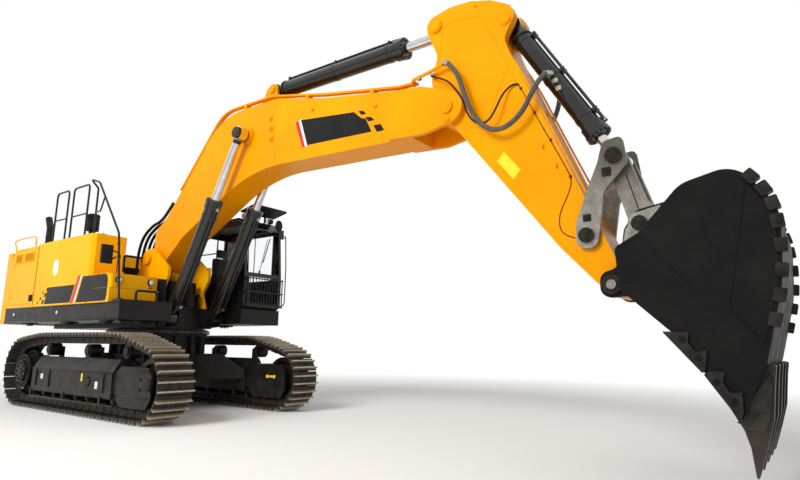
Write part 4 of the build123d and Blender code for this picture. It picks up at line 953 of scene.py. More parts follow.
add_outline(door_trim, ((0.30, 2.06), (1.40, 2.06), (1.44, 2.10), (1.44, 2.30), (1.40, 2.34), (0.30, 2.34),
                        (0.26, 2.30), (0.26, 2.10)), CAB_OUTER - 0.002, CAB_OUTER + 0.004)
finish_piece(door_trim, "cab_door_fittings", "cab_door_body", seal_black)

# Cab outside: pressed ribs and fields below the windows, drip rails and a hatch on the roof, a
# wiper on the front glass, the upper mirror with its stem, and clamps for the front guard.
shell = bmesh.new()
for y in (CAB_INNER - 0.006, CAB_OUTER + 0.006):
    add_pipe(shell, ((-0.14, y, 3.70), (0.9, y, 3.715), (1.50, y, 3.70), (1.64, y, 3.60)), 0.011)
add_block(shell, (-0.10, CAB_INNER - 0.008, 1.95), (1.66, CAB_INNER + 0.002, 1.98), 0.003)
add_outline(shell, ((0.30, 2.05), (1.42, 2.05), (1.45, 2.08), (1.45, 2.42), (1.42, 2.45), (0.30, 2.45),
                    (0.27, 2.42), (0.27, 2.08)), CAB_INNER - 0.007, CAB_INNER + 0.002)
add_block(shell, (0.2, 0.86, ROOF_Z - 0.003), (0.95, 1.36, ROOF_Z + 0.018), 0.01)
for y in (0.80, 1.42):
    add_block(shell, (0.1, y - 0.02, ROOF_Z - 0.003), (1.2, y + 0.02, ROOF_Z + 0.008), 0.004)
finish_piece(shell, "cab_shell_ribs", "upperstructure", cab_black)
grabs = bmesh.new()
add_pipe(grabs, ((1.64, 1.50, 3.66), (1.72, 1.50, 3.74), (1.80, 1.43, 3.72), (1.80, 1.40, 3.70)), 0.009)
add_bar(grabs, (1.76, 0.98, 2.66), (1.775, 0.98, 2.66), 0.025, 16)
add_bar(grabs, (1.770, 0.98, 2.66), (1.70, 1.20, 3.36), 0.007, 8)
add_bar(grabs, (1.764, 1.06, 2.86), (1.690, 1.28, 3.40), 0.010, 6)
finish_piece(grabs, "cab_grab_rails_and_wiper", "upperstructure", rail_paint)
oval = bmesh.new()
bmesh.ops.create_cone(oval, cap_ends=True, segments=40, radius1=0.10, radius2=0.09, depth=0.03,
                      matrix=Matrix.Translation((1.80, 1.40, 3.67)) @ Matrix.Rotation(pi / 2, 4, "Y")
                      @ Matrix.Rotation(0.25, 4, "X") @ Matrix.Diagonal((1.25, 0.8, 1, 1)))
finish_piece(oval, "cab_mirror_housings", "upperstructure", moulded_black)
oval_glass = bmesh.new()
for centre, half in (((1.786, 1.465, 3.49), 0.070), ((1.783, 1.40, 3.67), 0.092)):
    bmesh.ops.create_uvsphere(oval_glass, u_segments=32, v_segments=12, radius=half,
                              matrix=Matrix.Translation(centre) @ Matrix.Rotation(0.25, 4, "X")
                              @ Matrix.Diagonal((0.06, 0.8, 1.25, 1)))
finish_piece(oval_glass, "cab_mirror_glasses", "upperstructure", mirror_glass)
dress(rail_paint, "front_guard", "cab_mirrors")
guard = bmesh.new()
for y in (CAB_INNER + 0.03, CAB_OUTER - 0.03):
    for z in (1.99, 2.25, 2.52):
        add_bar(guard, (CAB_NOSE + 0.014, y, z), (CAB_NOSE + 0.03, y, z), 0.028, 16)
        add_bolt(guard, (CAB_NOSE + 0.11, y, z), (1, 0, 0), 0.02)
for y in (CAB_INNER + 0.04, CAB_OUTER - 0.04):
    add_bar(guard, (CAB_NOSE + 0.11, y, 1.96), (CAB_NOSE + 0.11, y, 2.55), 0.012, 12)
finish_piece(guard, "front_guard_clamps", "upperstructure", rail_paint)

# Visor: a moulded sheet on two brackets above the front glass. Ribs stiffen it, and rims close
# its front edge and its ends.
visor = bmesh.new()
VISOR_PLACE = (1.6625, 3.9325)
VISOR_TILT = -0.2064
for i in range(9):
    y = 0.74 + 0.72 * i / 8
    lean = Matrix.Translation(at_y(VISOR_PLACE, y)) @ Matrix.Rotation(VISOR_TILT, 4, "Y")
    add_block(visor, (-0.16, -0.012, 0.0105), (0.16, 0.012, 0.019), 0.003, lean)
edge = Matrix.Translation((1.876, 1.10, 3.9775)) @ Matrix.Rotation(VISOR_TILT, 4, "Y")
add_block(visor, (-0.012, -0.42, -0.018), (0.006, 0.42, 0.018), 0.005, edge)
for y in (0.676, 1.524):
    rim = Matrix.Translation(at_y(VISOR_PLACE, y)) @ Matrix.Rotation(VISOR_TILT, 4, "Y")
    add_block(visor, (-0.215, -0.005, -0.02), (0.215, 0.005, 0.02), 0.004, rim)
finish_piece(visor, "visor_ribs", "upperstructure", moulded_black)

# Work lamps on the cab's roof: bright lenses in drum-shaped black shells, each on a low foot
# that is screwed to the roof.
dress(lamp_glass, "work_lamps")
shells = bmesh.new()
for y in (0.76, 1.40):
    bmesh.ops.create_cone(shells, cap_ends=False, segments=36, radius1=0.053, radius2=0.053, depth=0.104,
                          matrix=along_axis((1.5, y - 0.052, 3.80), (1.5, y + 0.052, 3.80)))
    add_block(shells, (1.48, y - 0.02, 3.742), (1.52, y + 0.02, 3.76), 0.003)
finish_piece(shells, "work_lamp_shells", "upperstructure", moulded_black)

# Inside the cab: consoles with padded arm rests and control levers, a monitor by the pillar,
# a floor mat, pedals and a pale headlining, seen through the glass.
lining = plain_finish("moulded_cab_lining", 300, "#5d605b", "#6f726b", 0.7, 0.2, grain=(2, 0.1))
inside = bmesh.new()
add_block(inside, (-0.10, CAB_INNER + 0.05, 3.685), (1.42, CAB_OUTER - 0.05, 3.705), 0.006)
add_block(inside, (-0.105, CAB_INNER + 0.05, 2.0), (-0.085, CAB_OUTER - 0.05, 2.68), 0.006)
add_block(inside, (1.46, CAB_INNER + 0.05, 2.42), (1.70, CAB_INNER + 0.12, 2.56), 0.02)
finish_piece(inside, "cab_lining", "upperstructure", lining)
controls = bmesh.new()
for y in (0.80, 1.42):
    add_block(controls, (0.36, y - 0.05, 2.52), (0.74, y + 0.05, 2.575), 0.02)
    add_bar(controls, (0.862, y, 2.52), (0.872, y, 2.60), 0.055, 24, 0.026)
    bmesh.ops.create_uvsphere(controls, u_segments=20, v_segments=12, radius=0.034,
                              matrix=Matrix.Translation((0.885, y, 2.71)) @ Matrix.Diagonal((1, 1, 1.5, 1)))
for y in (1.02, 1.20):
    add_bar(controls, (1.30, y, 1.965), (1.36, y, 2.42), 0.012, 12)
    add_block(controls, (1.26, y - 0.06, 1.99), (1.42, y + 0.06, 2.006), 0.005)
add_block(controls, (1.42, 0.72, 2.62), (1.46, 0.96, 2.80), 0.01)
add_bar(controls, (1.44, 0.80, 2.50), (1.44, 0.80, 2.64), 0.014, 12)
finish_piece(controls, "cab_controls", "upperstructure", moulded_black)

# Operator's seat: foam cushions under charcoal cloth on a suspension base. The cushion and the
# back are crowned and tuck in at their seams, with a headrest on top.
seat_cloth, tree, shader = new_material("charcoal_seat_cloth", 0.2)
place = add_node(tree, "ShaderNodeTexCoord")
THREAD_MM = 6
CROWN, TUCK = 0.20, 0.07
weave = add_node(tree, "ShaderNodeTexChecker", {"Vector": place.outputs["Object"],
                                                "Scale": 1000 / THREAD_MM})
tree.links.new(blend_colours(tree, soft_noise(tree, 60, 0.0, 1.0), linear("#22282c"),
                             linear("#2f363a")), shader.inputs["Base Color"])
shader.inputs["Roughness"].default_value = 0.85
shader.inputs["Sheen Weight"].default_value = 0.3
raise_surface(tree, shader, weave.outputs["Fac"], 0.3)


def cushion(name, low, high, crown_axis):
    """A padded block whose faces swell and whose edges pull in to a seam."""
    shape = bmesh.new()
    low, high = Vector(low), Vector(high)
    size = high - low
    middle = (low + high) / 2
    bmesh.ops.create_cube(shape, size=1.0)
    bmesh.ops.subdivide_edges(shape, edges=shape.edges[:], cuts=9, use_grid_fill=True)
    for v in shape.verts:
        across = [v.co[i] * 2 for i in range(3)]
        others = [i for i in range(3) if i != crown_axis]
        round_off = (1 - abs(across[others[0]]) ** 4) * (1 - abs(across[others[1]]) ** 4)
        v.co[crown_axis] *= 1 - CROWN * (1 - round_off)
        for i in others:
            v.co[i] *= 1 - TUCK * across[crown_axis] ** 2
    bmesh.ops.smooth_vert(shape, verts=shape.verts[:], factor=0.5, use_axis_x=True, use_axis_y=True,
                          use_axis_z=True)
    bmesh.ops.transform(shape, matrix=Matrix.Translation(middle) @ Matrix.Diagonal((*size, 1)),
                        verts=shape.verts[:])
    for edge in shape.edges:
        edge.smooth = True
    piece = finish_piece(shape, name, "upperstructure", seat_cloth, 60)
    swell = piece.modifiers.new("swell", "SUBSURF")
    swell.levels = swell.render_levels = 1
    return piece


seat_pieces = [
    cushion("seat_cushion", (0.32, 0.88, 2.27), (0.85, 1.34, 2.42), 2),
    cushion("seat_back_lower", (0.26, 0.90, 2.40), (0.42, 1.32, 2.74), 0),
    cushion("seat_back_upper", (0.25, 0.91, 2.72), (0.40, 1.31, 3.05), 0),
    cushion("seat_headrest", (0.27, 0.99, 3.07), (0.37, 1.23, 3.25), 0),
]
base = bmesh.new()
add_block(base, (0.36, 0.93, 1.965), (0.74, 1.29, 2.06), 0.012)
for i in range(5):
    z = 2.07 + 0.036 * i
    add_block(base, (0.375 + 0.012 * (i % 2), 0.945 + 0.012 * (i % 2), z),
              (0.725 - 0.012 * (i % 2), 1.275 - 0.012 * (i % 2), z + 0.032), 0.012)
add_block(base, (0.33, 0.90, 2.245), (0.80, 1.32, 2.275), 0.008)
for y in (1.06, 1.16):
    add_bar(base, (0.32, y, 3.0), (0.32, y, 3.12), 0.007, 10)
seat_base = finish_piece(base, "seat_base", "upperstructure", moulded_black)
for piece in seat_pieces:
    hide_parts("cab_seat")
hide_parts("cab_seat")

# Boom: a welded box of thick plate under yellow enamel, deeper in tone than the body's panels.
# Weld beads show along its seams, and its pins are held by bolted caps.
boom_yellow = yellow_enamel("boom_yellow_enamel", "#f09500", "#f6a001", 0.06)
dress(boom_yellow, "boom", "boom_pipes", "arm")


def add_weld(shape, y, places, radius):
    """A low rippled bead through these (x, z) places, on a face at this distance across."""
    for first, second in zip(places, places[1:]):
        start, end = Vector(at_y(first, y)), Vector(at_y(second, y))
        count = max(1, round((end - start).length / RIPPLE))
        for i in range(count):
            add_bar(shape, start.lerp(end, i / count), start.lerp(end, (i + 1) / count), radius, 6,
                    radius * 0.8)


def add_cap(shape, centre, direction, radius, bolts):
    """A pin's round end cap, with a raised rim and a ring of bolts."""
    centre, direction = Vector(centre), Vector(direction)
    add_bar(shape, centre, centre + 0.016 * direction, radius, 40)
    add_bar(shape, centre + 0.014 * direction, centre + 0.022 * direction, 0.55 * radius, 32)
    if bolts:
        ring_of_bolts(shape, centre + 0.012 * direction, direction, 0.76 * radius, bolts, 0.15 * radius)


RIPPLE = 0.03
BOOM_SIDE = 0.28
ARM_PIN = (6.99, 4.40)
BOOM_EYE = (2.77, 4.905)
ARM_CYLINDER_BASE = (3.2, 5.75)
boom_trim = bmesh.new()
for side in (-1, 1):
    skin = side * BOOM_SIDE
    add_weld(boom_trim, skin, ((0.78, 4.10), (1.10, 4.46), (1.56, 4.98)), 0.006)
    add_weld(boom_trim, skin, ((3.52, 4.28), (3.44, 5.40)), 0.006)
    add_weld(boom_trim, side * 0.282, ((5.99, 4.16), (5.99, 4.86)), 0.012)
    add_cap(boom_trim, at_y(ARM_PIN, side * 0.358), (0, side, 0), 0.088, 0)
    ear = side * 0.346
    add_block(boom_trim, (6.945, ear, 4.19), (7.035, ear + side * 0.012, 4.235), 0.004)
    for x in (6.962, 7.018):
        add_bolt(boom_trim, (x, ear + side * 0.01, 4.212), (0, side, 0), 0.018)
    for x, z in ((4.38, 5.02), (5.71, 4.75)):
        add_bar(boom_trim, (x, skin, z), (x, skin + side * 0.03, z), 0.016, 12)
        add_bar(boom_trim, (x - 0.03, skin + side * 0.02, z), (x + 0.03, skin + side * 0.02, z), 0.010, 8)
    for radius, face in ((0.156, 0.30), (0.166, 0.285)):
        add_bar(boom_trim, at_y(BOOM_EYE, side * 0.27), at_y(BOOM_EYE, side * face), radius, 48)
    add_cap(boom_trim, at_y(ARM_CYLINDER_BASE, side * 0.15), (0, side, 0), 0.066, 0)
    lug = side * 0.136
    add_block(boom_trim, (3.16, lug, 5.58), (3.24, lug + side * 0.01, 5.62), 0.003)
for plug in ((3.36, 5.11), (3.38, 4.92), (3.40, 4.73)):
    add_bar(boom_trim, at_y(plug, -BOOM_SIDE), at_y(plug, -BOOM_SIDE - 0.022), 0.045, 24)
    add_bar(boom_trim, at_y(plug, -BOOM_SIDE - 0.02), at_y(plug, -BOOM_SIDE - 0.04), 0.026, 6)
finish_piece(boom_trim, "boom_welds_and_caps", "boom_body", boom_yellow)

# Boom marking: one tape plate on each side, left blank. Red and white edges lean with it, and
# its front end breaks into three squares.
SIDE_PLATE = ((4.12, 4.905), (4.29, 4.435), (5.64, 4.37), (5.52, 4.60), (5.42, 4.64), (5.28, 4.765))
SIDE_SQUARES = (((5.37, 4.76), (5.46, 4.745), (5.53, 4.675), (5.43, 4.685)),
                ((5.51, 4.625), (5.62, 4.61), (5.69, 4.54), (5.57, 4.545)),
                ((5.67, 4.465), (5.81, 4.45), (5.88, 4.34), (5.74, 4.345)))
RED_EDGE = ((3.99, 4.885), (4.06, 4.91), (4.245, 4.41), (4.175, 4.42))
WHITE_EDGE = ((4.06, 4.91), (4.11, 4.92), (4.285, 4.43), (4.245, 4.41))
for name, film, outlines in (("boom_plate_black", tape_black, (SIDE_PLATE, *SIDE_SQUARES)),
                             ("boom_plate_red", tape_red, (RED_EDGE,)),
                             ("boom_plate_white", tape_white, (WHITE_EDGE,))):
    plate = bmesh.new()
    for skin in (-BOOM_SIDE, BOOM_SIDE):
        for outline in outlines:
            add_tape(plate, outline, skin)
    finish_piece(plate, name, "boom_body", film)

# Boom foot: bolted caps on the foot pin's ends, a weld bead along each bracket's base and a
# stiffening plate on its side, painted with the castings.
FOOT_PIN = (0.17, 2.87)
foot = bmesh.new()
for side in (-1, 1):
    add_cap(foot, at_y(FOOT_PIN, side * 0.51), (0, side, 0), 0.115, 8)
    bracket = side * 0.473
    add_weld(foot, bracket, ((-0.40, 1.93), (0.83, 1.93)), 0.014)
    add_block(foot, (0.30, bracket, 2.03), (0.44, bracket + side * 0.02, 2.55), 0.008)
finish_piece(foot, "boom_foot_caps", "upperstructure", cast_yellow)

# Arm: a tapering welded box with thick head plates. Beads run round the head's stiffening
# plates and down the crease where the box starts, and thin pipes follow its top edge.
ARM_SIDE = 0.255
ARM_CYLINDER_EYE = (6.765, 5.695)
BUCKET_CYLINDER_BASE = (7.825, 5.435)
arm_trim = bmesh.new()
for side in (-1, 1):
    skin = side * (ARM_SIDE + 0.001)
    add_weld(arm_trim, skin, ((6.79, 5.06), (6.84, 5.37), (6.88, 5.60), (6.99, 5.70), (7.47, 5.62),
                              (7.57, 5.42), (7.98, 4.50), (8.30, 3.80)), 0.0055)
    add_weld(arm_trim, skin, ((7.86, 4.76), (7.73, 4.52), (7.62, 4.27), (7.44, 3.85)), 0.004)
    add_weld(arm_trim, skin, ((7.74, 4.47), (7.30, 4.24)), 0.004)
    for pin, radius, boss in ((ARM_CYLINDER_EYE, 0.086, 0.286), (BUCKET_CYLINDER_BASE, 0.075, 0.271)):
        reach = side * boss
        add_bar(arm_trim, at_y(pin, skin), at_y(pin, reach), radius * 1.12, 40)
        add_bar(arm_trim, at_y(pin, reach), at_y(pin, reach + side * 0.012), radius * 0.9, 40)
    add_bar(arm_trim, (7.39, skin, 5.79), (7.39, skin + side * 0.018, 5.79), 0.018, 6)
    for x, z in ((8.28, 3.61), (8.44, 3.34)):
        add_bar(arm_trim, (x, skin, z), (x, skin + side * 0.03, z), 0.014, 12)
        add_bar(arm_trim, (x, skin + side * 0.02, z - 0.03), (x, skin + side * 0.02, z + 0.03), 0.009, 8)
    edge = side * (ARM_SIDE - 0.01)
    add_pipe(arm_trim, ((7.64, edge, 5.30), (7.95, edge, 4.86), (8.40, edge, 3.79), (8.80, edge, 2.90)),
             0.013, 2, 8)
finish_piece(arm_trim, "arm_welds_and_caps", "arm_body", boom_yellow)
arm_sign = bmesh.new()
for skin in (-ARM_SIDE, ARM_SIDE):
    add_tape(arm_sign, ((7.77, 3.645), (7.985, 3.375), (7.89, 3.265), (7.675, 3.535)), skin)
finish_piece(arm_sign, "arm_sign_plates", "arm_body", signal_plate)

# Grease lines: thin steel and nylon tube from a block on the arm down to the rocker's pin,
# tied to the arm by clips.
line_black = plain_finish("nylon_line_black", 60, "#17140f", "#2a261f", 0.45, 0.25)
GREASE_ROUTE = ((7.98, 4.50), (8.05, 4.36), (8.19, 4.05), (8.38, 3.66), (8.56, 3.28), (8.62, 3.13),
                (8.56, 2.96), (8.46, 2.78), (8.44, 2.62), (8.50, 2.50), (8.62, 2.46))
grease = bmesh.new()
for side in (-1, 1):
    skin = side * (ARM_SIDE + 0.0015)
    add_pipe(grease, [at_y(place, skin) for place in GREASE_ROUTE], 0.006)
    for x, z in ((8.02, 4.42), (8.19, 4.06), (8.38, 3.67), (8.60, 3.18)):
        add_block(grease, (x - 0.016, skin, z - 0.016), (x + 0.016, skin + side * 0.006, z + 0.016), 0.002)
finish_piece(grease, "arm_grease_lines", "arm_body", line_black)

# Bucket: abrasion-proof plate under black paint, dull and scuffed where it digs. Wear plates
# are welded on the cheeks and the heel, and the lip carries adapters between its teeth.
bucket_black, tree, shader = new_material("scuffed_bucket_enamel", 0.12)
scuffs = soft_noise(tree, 700, 0.0, 1.0, 6.0)
enamel = blend_colours(tree, scuffs, linear("#101011"), linear("#1c1c1b"))
place = add_node(tree, "ShaderNodeTexCoord")
stretched = add_node(tree, "ShaderNodeMapping", {"Vector": place.outputs["Object"], "Scale": (1, 1, 9)})
scores = add_node(tree, "ShaderNodeTexNoise", {"Vector": stretched.outputs[0], "Scale": 7.0, "Detail": 6.0})
scored = add_node(tree, "ShaderNodeMapRange", {"Value": scores.outputs["Fac"], "From Min": 0.60,
                                               "From Max": 0.75, "To Max": 0.35})
tree.links.new(blend_colours(tree, scored.outputs[0], enamel, linear("#2e2c29")),
               shader.inputs["Base Color"])
tree.links.new(soft_noise(tree, 180, 0.42, 0.62), shader.inputs["Roughness"])
raise_surface(tree, shader, soft_noise(tree, 14, 0.0, 1.0), 0.5)
dress(bucket_black, "bucket")
worn_steel, tree, shader = new_material("worn_tooth_steel", 0.3)
rubbed = blend_colours(tree, soft_noise(tree, 90, 0.0, 1.0), linear("#1b1917"), linear("#38342f"))
low_down = height_share(tree, 0.75, 0.25, 0.0, 0.35)
tree.links.new(blend_colours(tree, low_down, rubbed, linear("#6b6259")), shader.inputs["Base Color"])
tree.links.new(soft_noise(tree, 45, 0.32, 0.55), shader.inputs["Roughness"])
shader.inputs["Metallic"].default_value = 0.55
raise_surface(tree, shader, soft_noise(tree, 8, 0.0, 1.0), 0.5)
dress(worn_steel, "bucket_teeth", "bucket_wear_parts")
CHEEK = 0.98
BUCKET_PIN = (9.04, 1.90)
EAR_FACE = 0.392
plates = bmesh.new()
for side in (-1, 1):
    skin = side * CHEEK
    add_outline(plates, ((10.37, 2.66), (10.165, 1.58), (10.39, 1.30), (10.535, 1.82), (10.555, 2.36)),
                skin - side * 0.002, skin + side * 0.012, 0.01)
    add_weld(plates, skin + side * 0.008, ((10.37, 2.66), (10.165, 1.58), (10.39, 1.30)), 0.009)
    add_weld(plates, skin + side * 0.001, ((9.27, 2.18), (9.47, 2.27), (9.82, 1.86), (9.95, 1.70)), 0.005)
    for x, z in ((9.78, 1.33), (9.90, 1.17), (10.02, 0.98), (10.14, 0.83)):
        add_bar(plates, (x, skin + side * 0.033, z), (x, skin + side * 0.049, z), 0.026, 20)
    for face, reach in ((0.322, -0.004), (EAR_FACE, 0.012)):
        near, far = at_y(BUCKET_PIN, side * face), at_y(BUCKET_PIN, side * (face + reach))
        bmesh.ops.create_cone(plates, cap_ends=True, segments=48, radius1=0.118, radius2=0.113,
                              depth=abs(reach) + 0.002, matrix=along_axis(near, far))
        ring_of_bolts(plates, far, (0, side if reach > 0 else -side, 0), 0.094, 8, 0.02)
for y in (-0.66, -0.22, 0.22, 0.66):
    add_outline(plates, ((10.17, 0.70), (10.11, 0.64), (10.185, 0.61), (10.30, 0.76), (10.40, 1.05),
                         (10.34, 1.03)), y - 0.12, y + 0.12, 0.02)
finish_piece(plates, "bucket_wear_plates", "bucket_body", bucket_black)
bolts = bmesh.new()
for y in (-0.88, -0.44, 0, 0.44, 0.88):
    for side in (-1, 1):
        face = y + side * 0.055
        add_bar(bolts, (10.29, face, 0.66), (10.29, face + side * 0.008, 0.66), 0.028, 20)
        add_block(bolts, (10.20, face, 0.70), (10.375, face + side * 0.006, 0.73), 0.002)
        add_outline(bolts, ((10.15, 0.68), (10.19, 0.60), (10.33, 0.60), (10.38, 0.74), (10.412, 1.00),
                            (10.395, 1.06), (10.27, 0.89)), face, face + side * 0.014, 0.004)
finish_piece(bolts, "tooth_adapters", "bucket_body", worn_steel)

# Rocker arms and link: rough sand castings, unpainted after years of work, pale where they rub.
# Painted shade darkens them towards the top. Their pins are kept by round caps and square
# keepers, bolted on. Dark rings keep the bucket's pins, and cast hubs lie on its ears.
cast_steel, tree, shader = new_material("weathered_sand_casting_painted_shade")
grime = blend_colours(tree, soft_noise(tree, 160, 0.0, 1.0, 8.0), linear("#8b867b"), linear("#bdb8aa"))
speckled = blend_colours(tree, soft_noise(tree, 28, 0.0, 0.4, 8.0), grime, linear("#5a544a"))
# Painted shade: the casting's colour is darkened towards the top, from z 2.62 to 3.35.
painted_top_shade = height_share(tree, 2.62, 3.35, 0.0, 0.72)
tree.links.new(blend_colours(tree, painted_top_shade, speckled, linear("#3b372f")), shader.inputs["Base Color"])
tree.links.new(soft_noise(tree, 50, 0.38, 0.6), shader.inputs["Roughness"])
shader.inputs["Metallic"].default_value = 0.5
raise_surface(tree, shader, soft_noise(tree, 9, 0.0, 1.0, 8.0), 1.2)
dress(cast_steel, "rocker_arms", "bucket_link")
dark_cast = plain_finish("greasy_dark_casting", 60, "#1e1c19", "#3a3630", 0.38, 0.25, metal=0.6)
LINK_PIN = (9.35, 2.52)
ROCKER_PIN = (8.77, 2.465)
ROCKER_TOP = (9.105, 3.32)
ROCKER_FACE = 0.313
tip_rings = bmesh.new()
tip_centres = bmesh.new()
ear_hubs = bmesh.new()
for side in (-1, 1):
    add_cap(tip_rings, at_y(BUCKET_PIN, side * 0.410), (0, side, 0), 0.105, 10)
    for near, far, radius, sides in ((0.426, 0.438, 0.050, 32), (0.436, 0.443, 0.022, 6)):
        add_bar(tip_centres, at_y(BUCKET_PIN, side * near), at_y(BUCKET_PIN, side * far), radius, sides)
    ear = side * EAR_FACE
    add_outline(ear_hubs, ((9.155, 2.24), (9.205, 2.47), (9.335, 2.64), (9.56, 2.69), (9.60, 2.44),
                           (9.44, 2.31), (9.27, 2.22)), ear, ear + side * 0.007, 0.003)
    add_bar(ear_hubs, at_y(LINK_PIN, ear), at_y(LINK_PIN, ear + side * 0.015), 0.118, 40)
finish_piece(tip_rings, "bucket_pin_rings", "arm_body", dark_cast)
finish_piece(tip_centres, "bucket_pin_centres", "arm_body", cast_steel)
finish_piece(ear_hubs, "bucket_ear_hubs", "bucket_body", cast_steel)
rocker_trim = bmesh.new()
for side in (-1, 1):
    skin = side * ROCKER_FACE
    keeper_face = skin + side * 0.018
    add_cap(rocker_trim, at_y(ROCKER_PIN, side * 0.327), (0, side, 0), 0.085, 6)
    add_cap(rocker_trim, at_y(ROCKER_TOP, side * 0.337), (0, side, 0), 0.088, 6)
    add_block(rocker_trim, (8.74, skin, 2.62), (8.83, keeper_face, 2.70), 0.008)
    add_block(rocker_trim, (8.97, skin, 3.10), (9.07, keeper_face, 3.20), 0.008)
    for x, z in ((8.765, 2.66), (8.805, 2.66), (9.0, 3.15), (9.04, 3.15)):
        add_bolt(rocker_trim, (x, skin + side * 0.016, z), (0, side, 0), 0.02)
finish_piece(rocker_trim, "rocker_pin_caps", "rocker_body", dark_cast)
link_trim = bmesh.new()
for side in (-1, 1):
    add_cap(link_trim, at_y(LINK_PIN, side * 0.409), (0, side, 0), 0.08, 6)
    add_weld(link_trim, side * 0.216, ((9.31, 2.70), (9.20, 3.12)), 0.006)
finish_piece(link_trim, "link_pin_caps", "link_body", dark_cast)

# Hydraulic cylinders: seamless steel barrels in gloss black with a forged base eye and a bolted
# gland, and ground, hard-chromed rods. Steel pipes feed the gland end and are strapped on.
barrel_black = plain_finish("gloss_black_enamel", 260, "#0f0f10", "#191918", (160, 0.14, 0.26), 0.3,
                            grain=(5, 0.05), coat=(0.5, 0.06))
dress(barrel_black, "boom_cylinder_barrels", "arm_cylinder_barrel", "bucket_cylinder_barrel")
rod_chrome = plain_finish("hard_chromed_rod", 120, "#c9c9c9", "#dcdcdc", (30, 0.07, 0.14), metal=1.0)
dress(rod_chrome, "boom_cylinder_rods", "arm_cylinder_rod", "bucket_cylinder_rod")
plated_steel = plain_finish("zinc_plated_fittings", 25, "#a8a294", "#cfcabc", 0.3, metal=0.85)


def add_band(shape, start, end, radius, thick, sides):
    """An open band round the line between two points."""
    made = bmesh.ops.create_cone(shape, cap_ends=False, segments=sides, radius1=radius, radius2=radius,
                                 depth=(end - start).length, matrix=along_axis(start, end))
    bmesh.ops.solidify(shape, geom=list({f for v in made["verts"] for f in v.link_faces}), thickness=thick)


def dress_cylinder(name, body, rod_body, base, eye, y, radius, length, rod_radius, rod_eye, feed):
    """Glands, straps, feed pipes and caps for one cylinder in the plane at this distance across."""
    base, eye = Vector(at_y(base, y)), Vector(at_y(eye, y))
    along = (eye - base).normalized()
    over = Vector((-along.z, 0, along.x)) * feed
    across = Vector((0, 1, 0))
    rear_port, front_port = 0.30, length - 0.12
    shape = bmesh.new()
    for near, far, grown in ((length - 0.16, length + 0.004, 0.020), (length - 0.05, length + 0.006, 0.030),
                             (0.212, 0.25, 0.016)):
        add_band(shape, base + near * along, base + far * along, radius + grown, grown + 0.02, 56)
    for i in range(12):
        angle = 2 * pi * i / 12
        spoke = cos(angle) * over + sin(angle) * across
        add_bolt(shape, base + (length + 0.004) * along + (radius - 0.005) * spoke, along, 0.026)
    for distance in (0.32, 0.5 * length, length - 0.30):
        add_band(shape, base + (distance - 0.025) * along, base + (distance + 0.025) * along,
                 radius + 0.006, 0.008, 48)
        lift = base + distance * along + (radius + 0.025) * over
        tilt = Matrix.Translation(lift) @ Matrix((over, across, along)).transposed().to_4x4()
        add_block(shape, (-0.03, -0.055, -0.025), (0.03, 0.055, 0.025), 0.006, tilt)
        for hand in (-1, 1):
            add_bolt(shape, lift + 0.024 * over + hand * 0.045 * across, over, 0.02)
    for hand in (-1, 1):
        ride_high = (radius + 0.034) * over + hand * 0.028 * across
        rear = (radius - 0.02) * over + hand * 0.02 * across
        front = (radius - 0.01) * over + hand * 0.02 * across
        add_pipe(shape, [base + distance * along + height for distance, height in (
            (rear_port, rear), (rear_port, ride_high), (0.42, ride_high), (0.5 * length, ride_high),
            (length - 0.22, ride_high), (front_port, ride_high), (front_port, front))], 0.019, 3, 4)
    finish_piece(shape, f"{name}_barrel_fittings", body, barrel_black)
    bright = bmesh.new()
    for distance in (rear_port, front_port):
        port = base + distance * along
        add_bar(bright, port + (radius - 0.01) * over, port + (radius + 0.05) * over, 0.034, 6)
        add_bar(bright, port + (radius + 0.045) * over, port + (radius + 0.062) * over, 0.026, 20)
    finish_piece(bright, f"{name}_ports", body, plated_steel)
    cap = bmesh.new()
    add_band(cap, eye - (rod_eye + 0.06) * along, eye - (rod_eye - 0.01) * along, rod_radius + 0.004,
             0.003, 40)
    for side in (-1, 1):
        add_bar(cap, eye + side * 0.060 * across, eye + side * 0.074 * across, 0.85 * rod_eye, 40)
    finish_piece(cap, f"{name}_rod_collar", rod_body, barrel_black)


BOOM_CYLINDER_BASE = (1.09, 1.70)
BOOM_CYLINDER_Y = 0.46
for side, hand in ((-1, "right"), (1, "left")):
    dress_cylinder(f"boom_cylinder_{hand}", "boom_barrel_body", "boom_rod_body", BOOM_CYLINDER_BASE,
                   BOOM_EYE, side * BOOM_CYLINDER_Y, 0.125, 2.33, 0.072, 0.125, -1)
dress_cylinder("arm_cylinder", "arm_barrel_body", "arm_rod_body", ARM_CYLINDER_BASE, ARM_CYLINDER_EYE,
               0.0, 0.138, 2.85, 0.076, 0.12, 1)
dress_cylinder("bucket_cylinder", "bucket_barrel_body", "bucket_rod_body", BUCKET_CYLINDER_BASE,
               ROCKER_TOP, 0.0, 0.122, 2.03, 0.066, 0.11, 1)

# Boom cylinder eyes turn on stubs from the boom, closed by forged black caps with six bolts.
# Smaller caps with four bolts close the pins at the barrels' base, on both faces.
stubs = bmesh.new()
for side in (-1, 1):
    add_cap(stubs, at_y(BOOM_EYE, side * 0.553), (0, side, 0), 0.10, 6)
finish_piece(stubs, "boom_cylinder_eye_caps", "boom_rod_body", barrel_black)
base_caps = bmesh.new()
for side in (-1, 1):
    for reach, way in ((0.586, 1), (0.334, -1)):
        add_cap(base_caps, at_y(BOOM_CYLINDER_BASE, side * reach), (0, side * way, 0), 0.07, 4)
finish_piece(base_caps, "boom_cylinder_base_caps", "upperstructure", frame_black)

# Hydraulic hoses: wire-braided rubber with a smooth dark cover and crimped, plated end fittings.
# They hang in arcs long enough for the joint that they cross.
hose_rubber = plain_finish("wrapped_hose_rubber", 50, "#141413", "#262523", (40, 0.34, 0.5), 0.2,
                           grain=(4, 0.15))
grey_sleeve = plain_finish("grey_hose_sleeve", 30, "#3f3f3d", "#5d5c58", 0.55, grain=(3, 0.3))


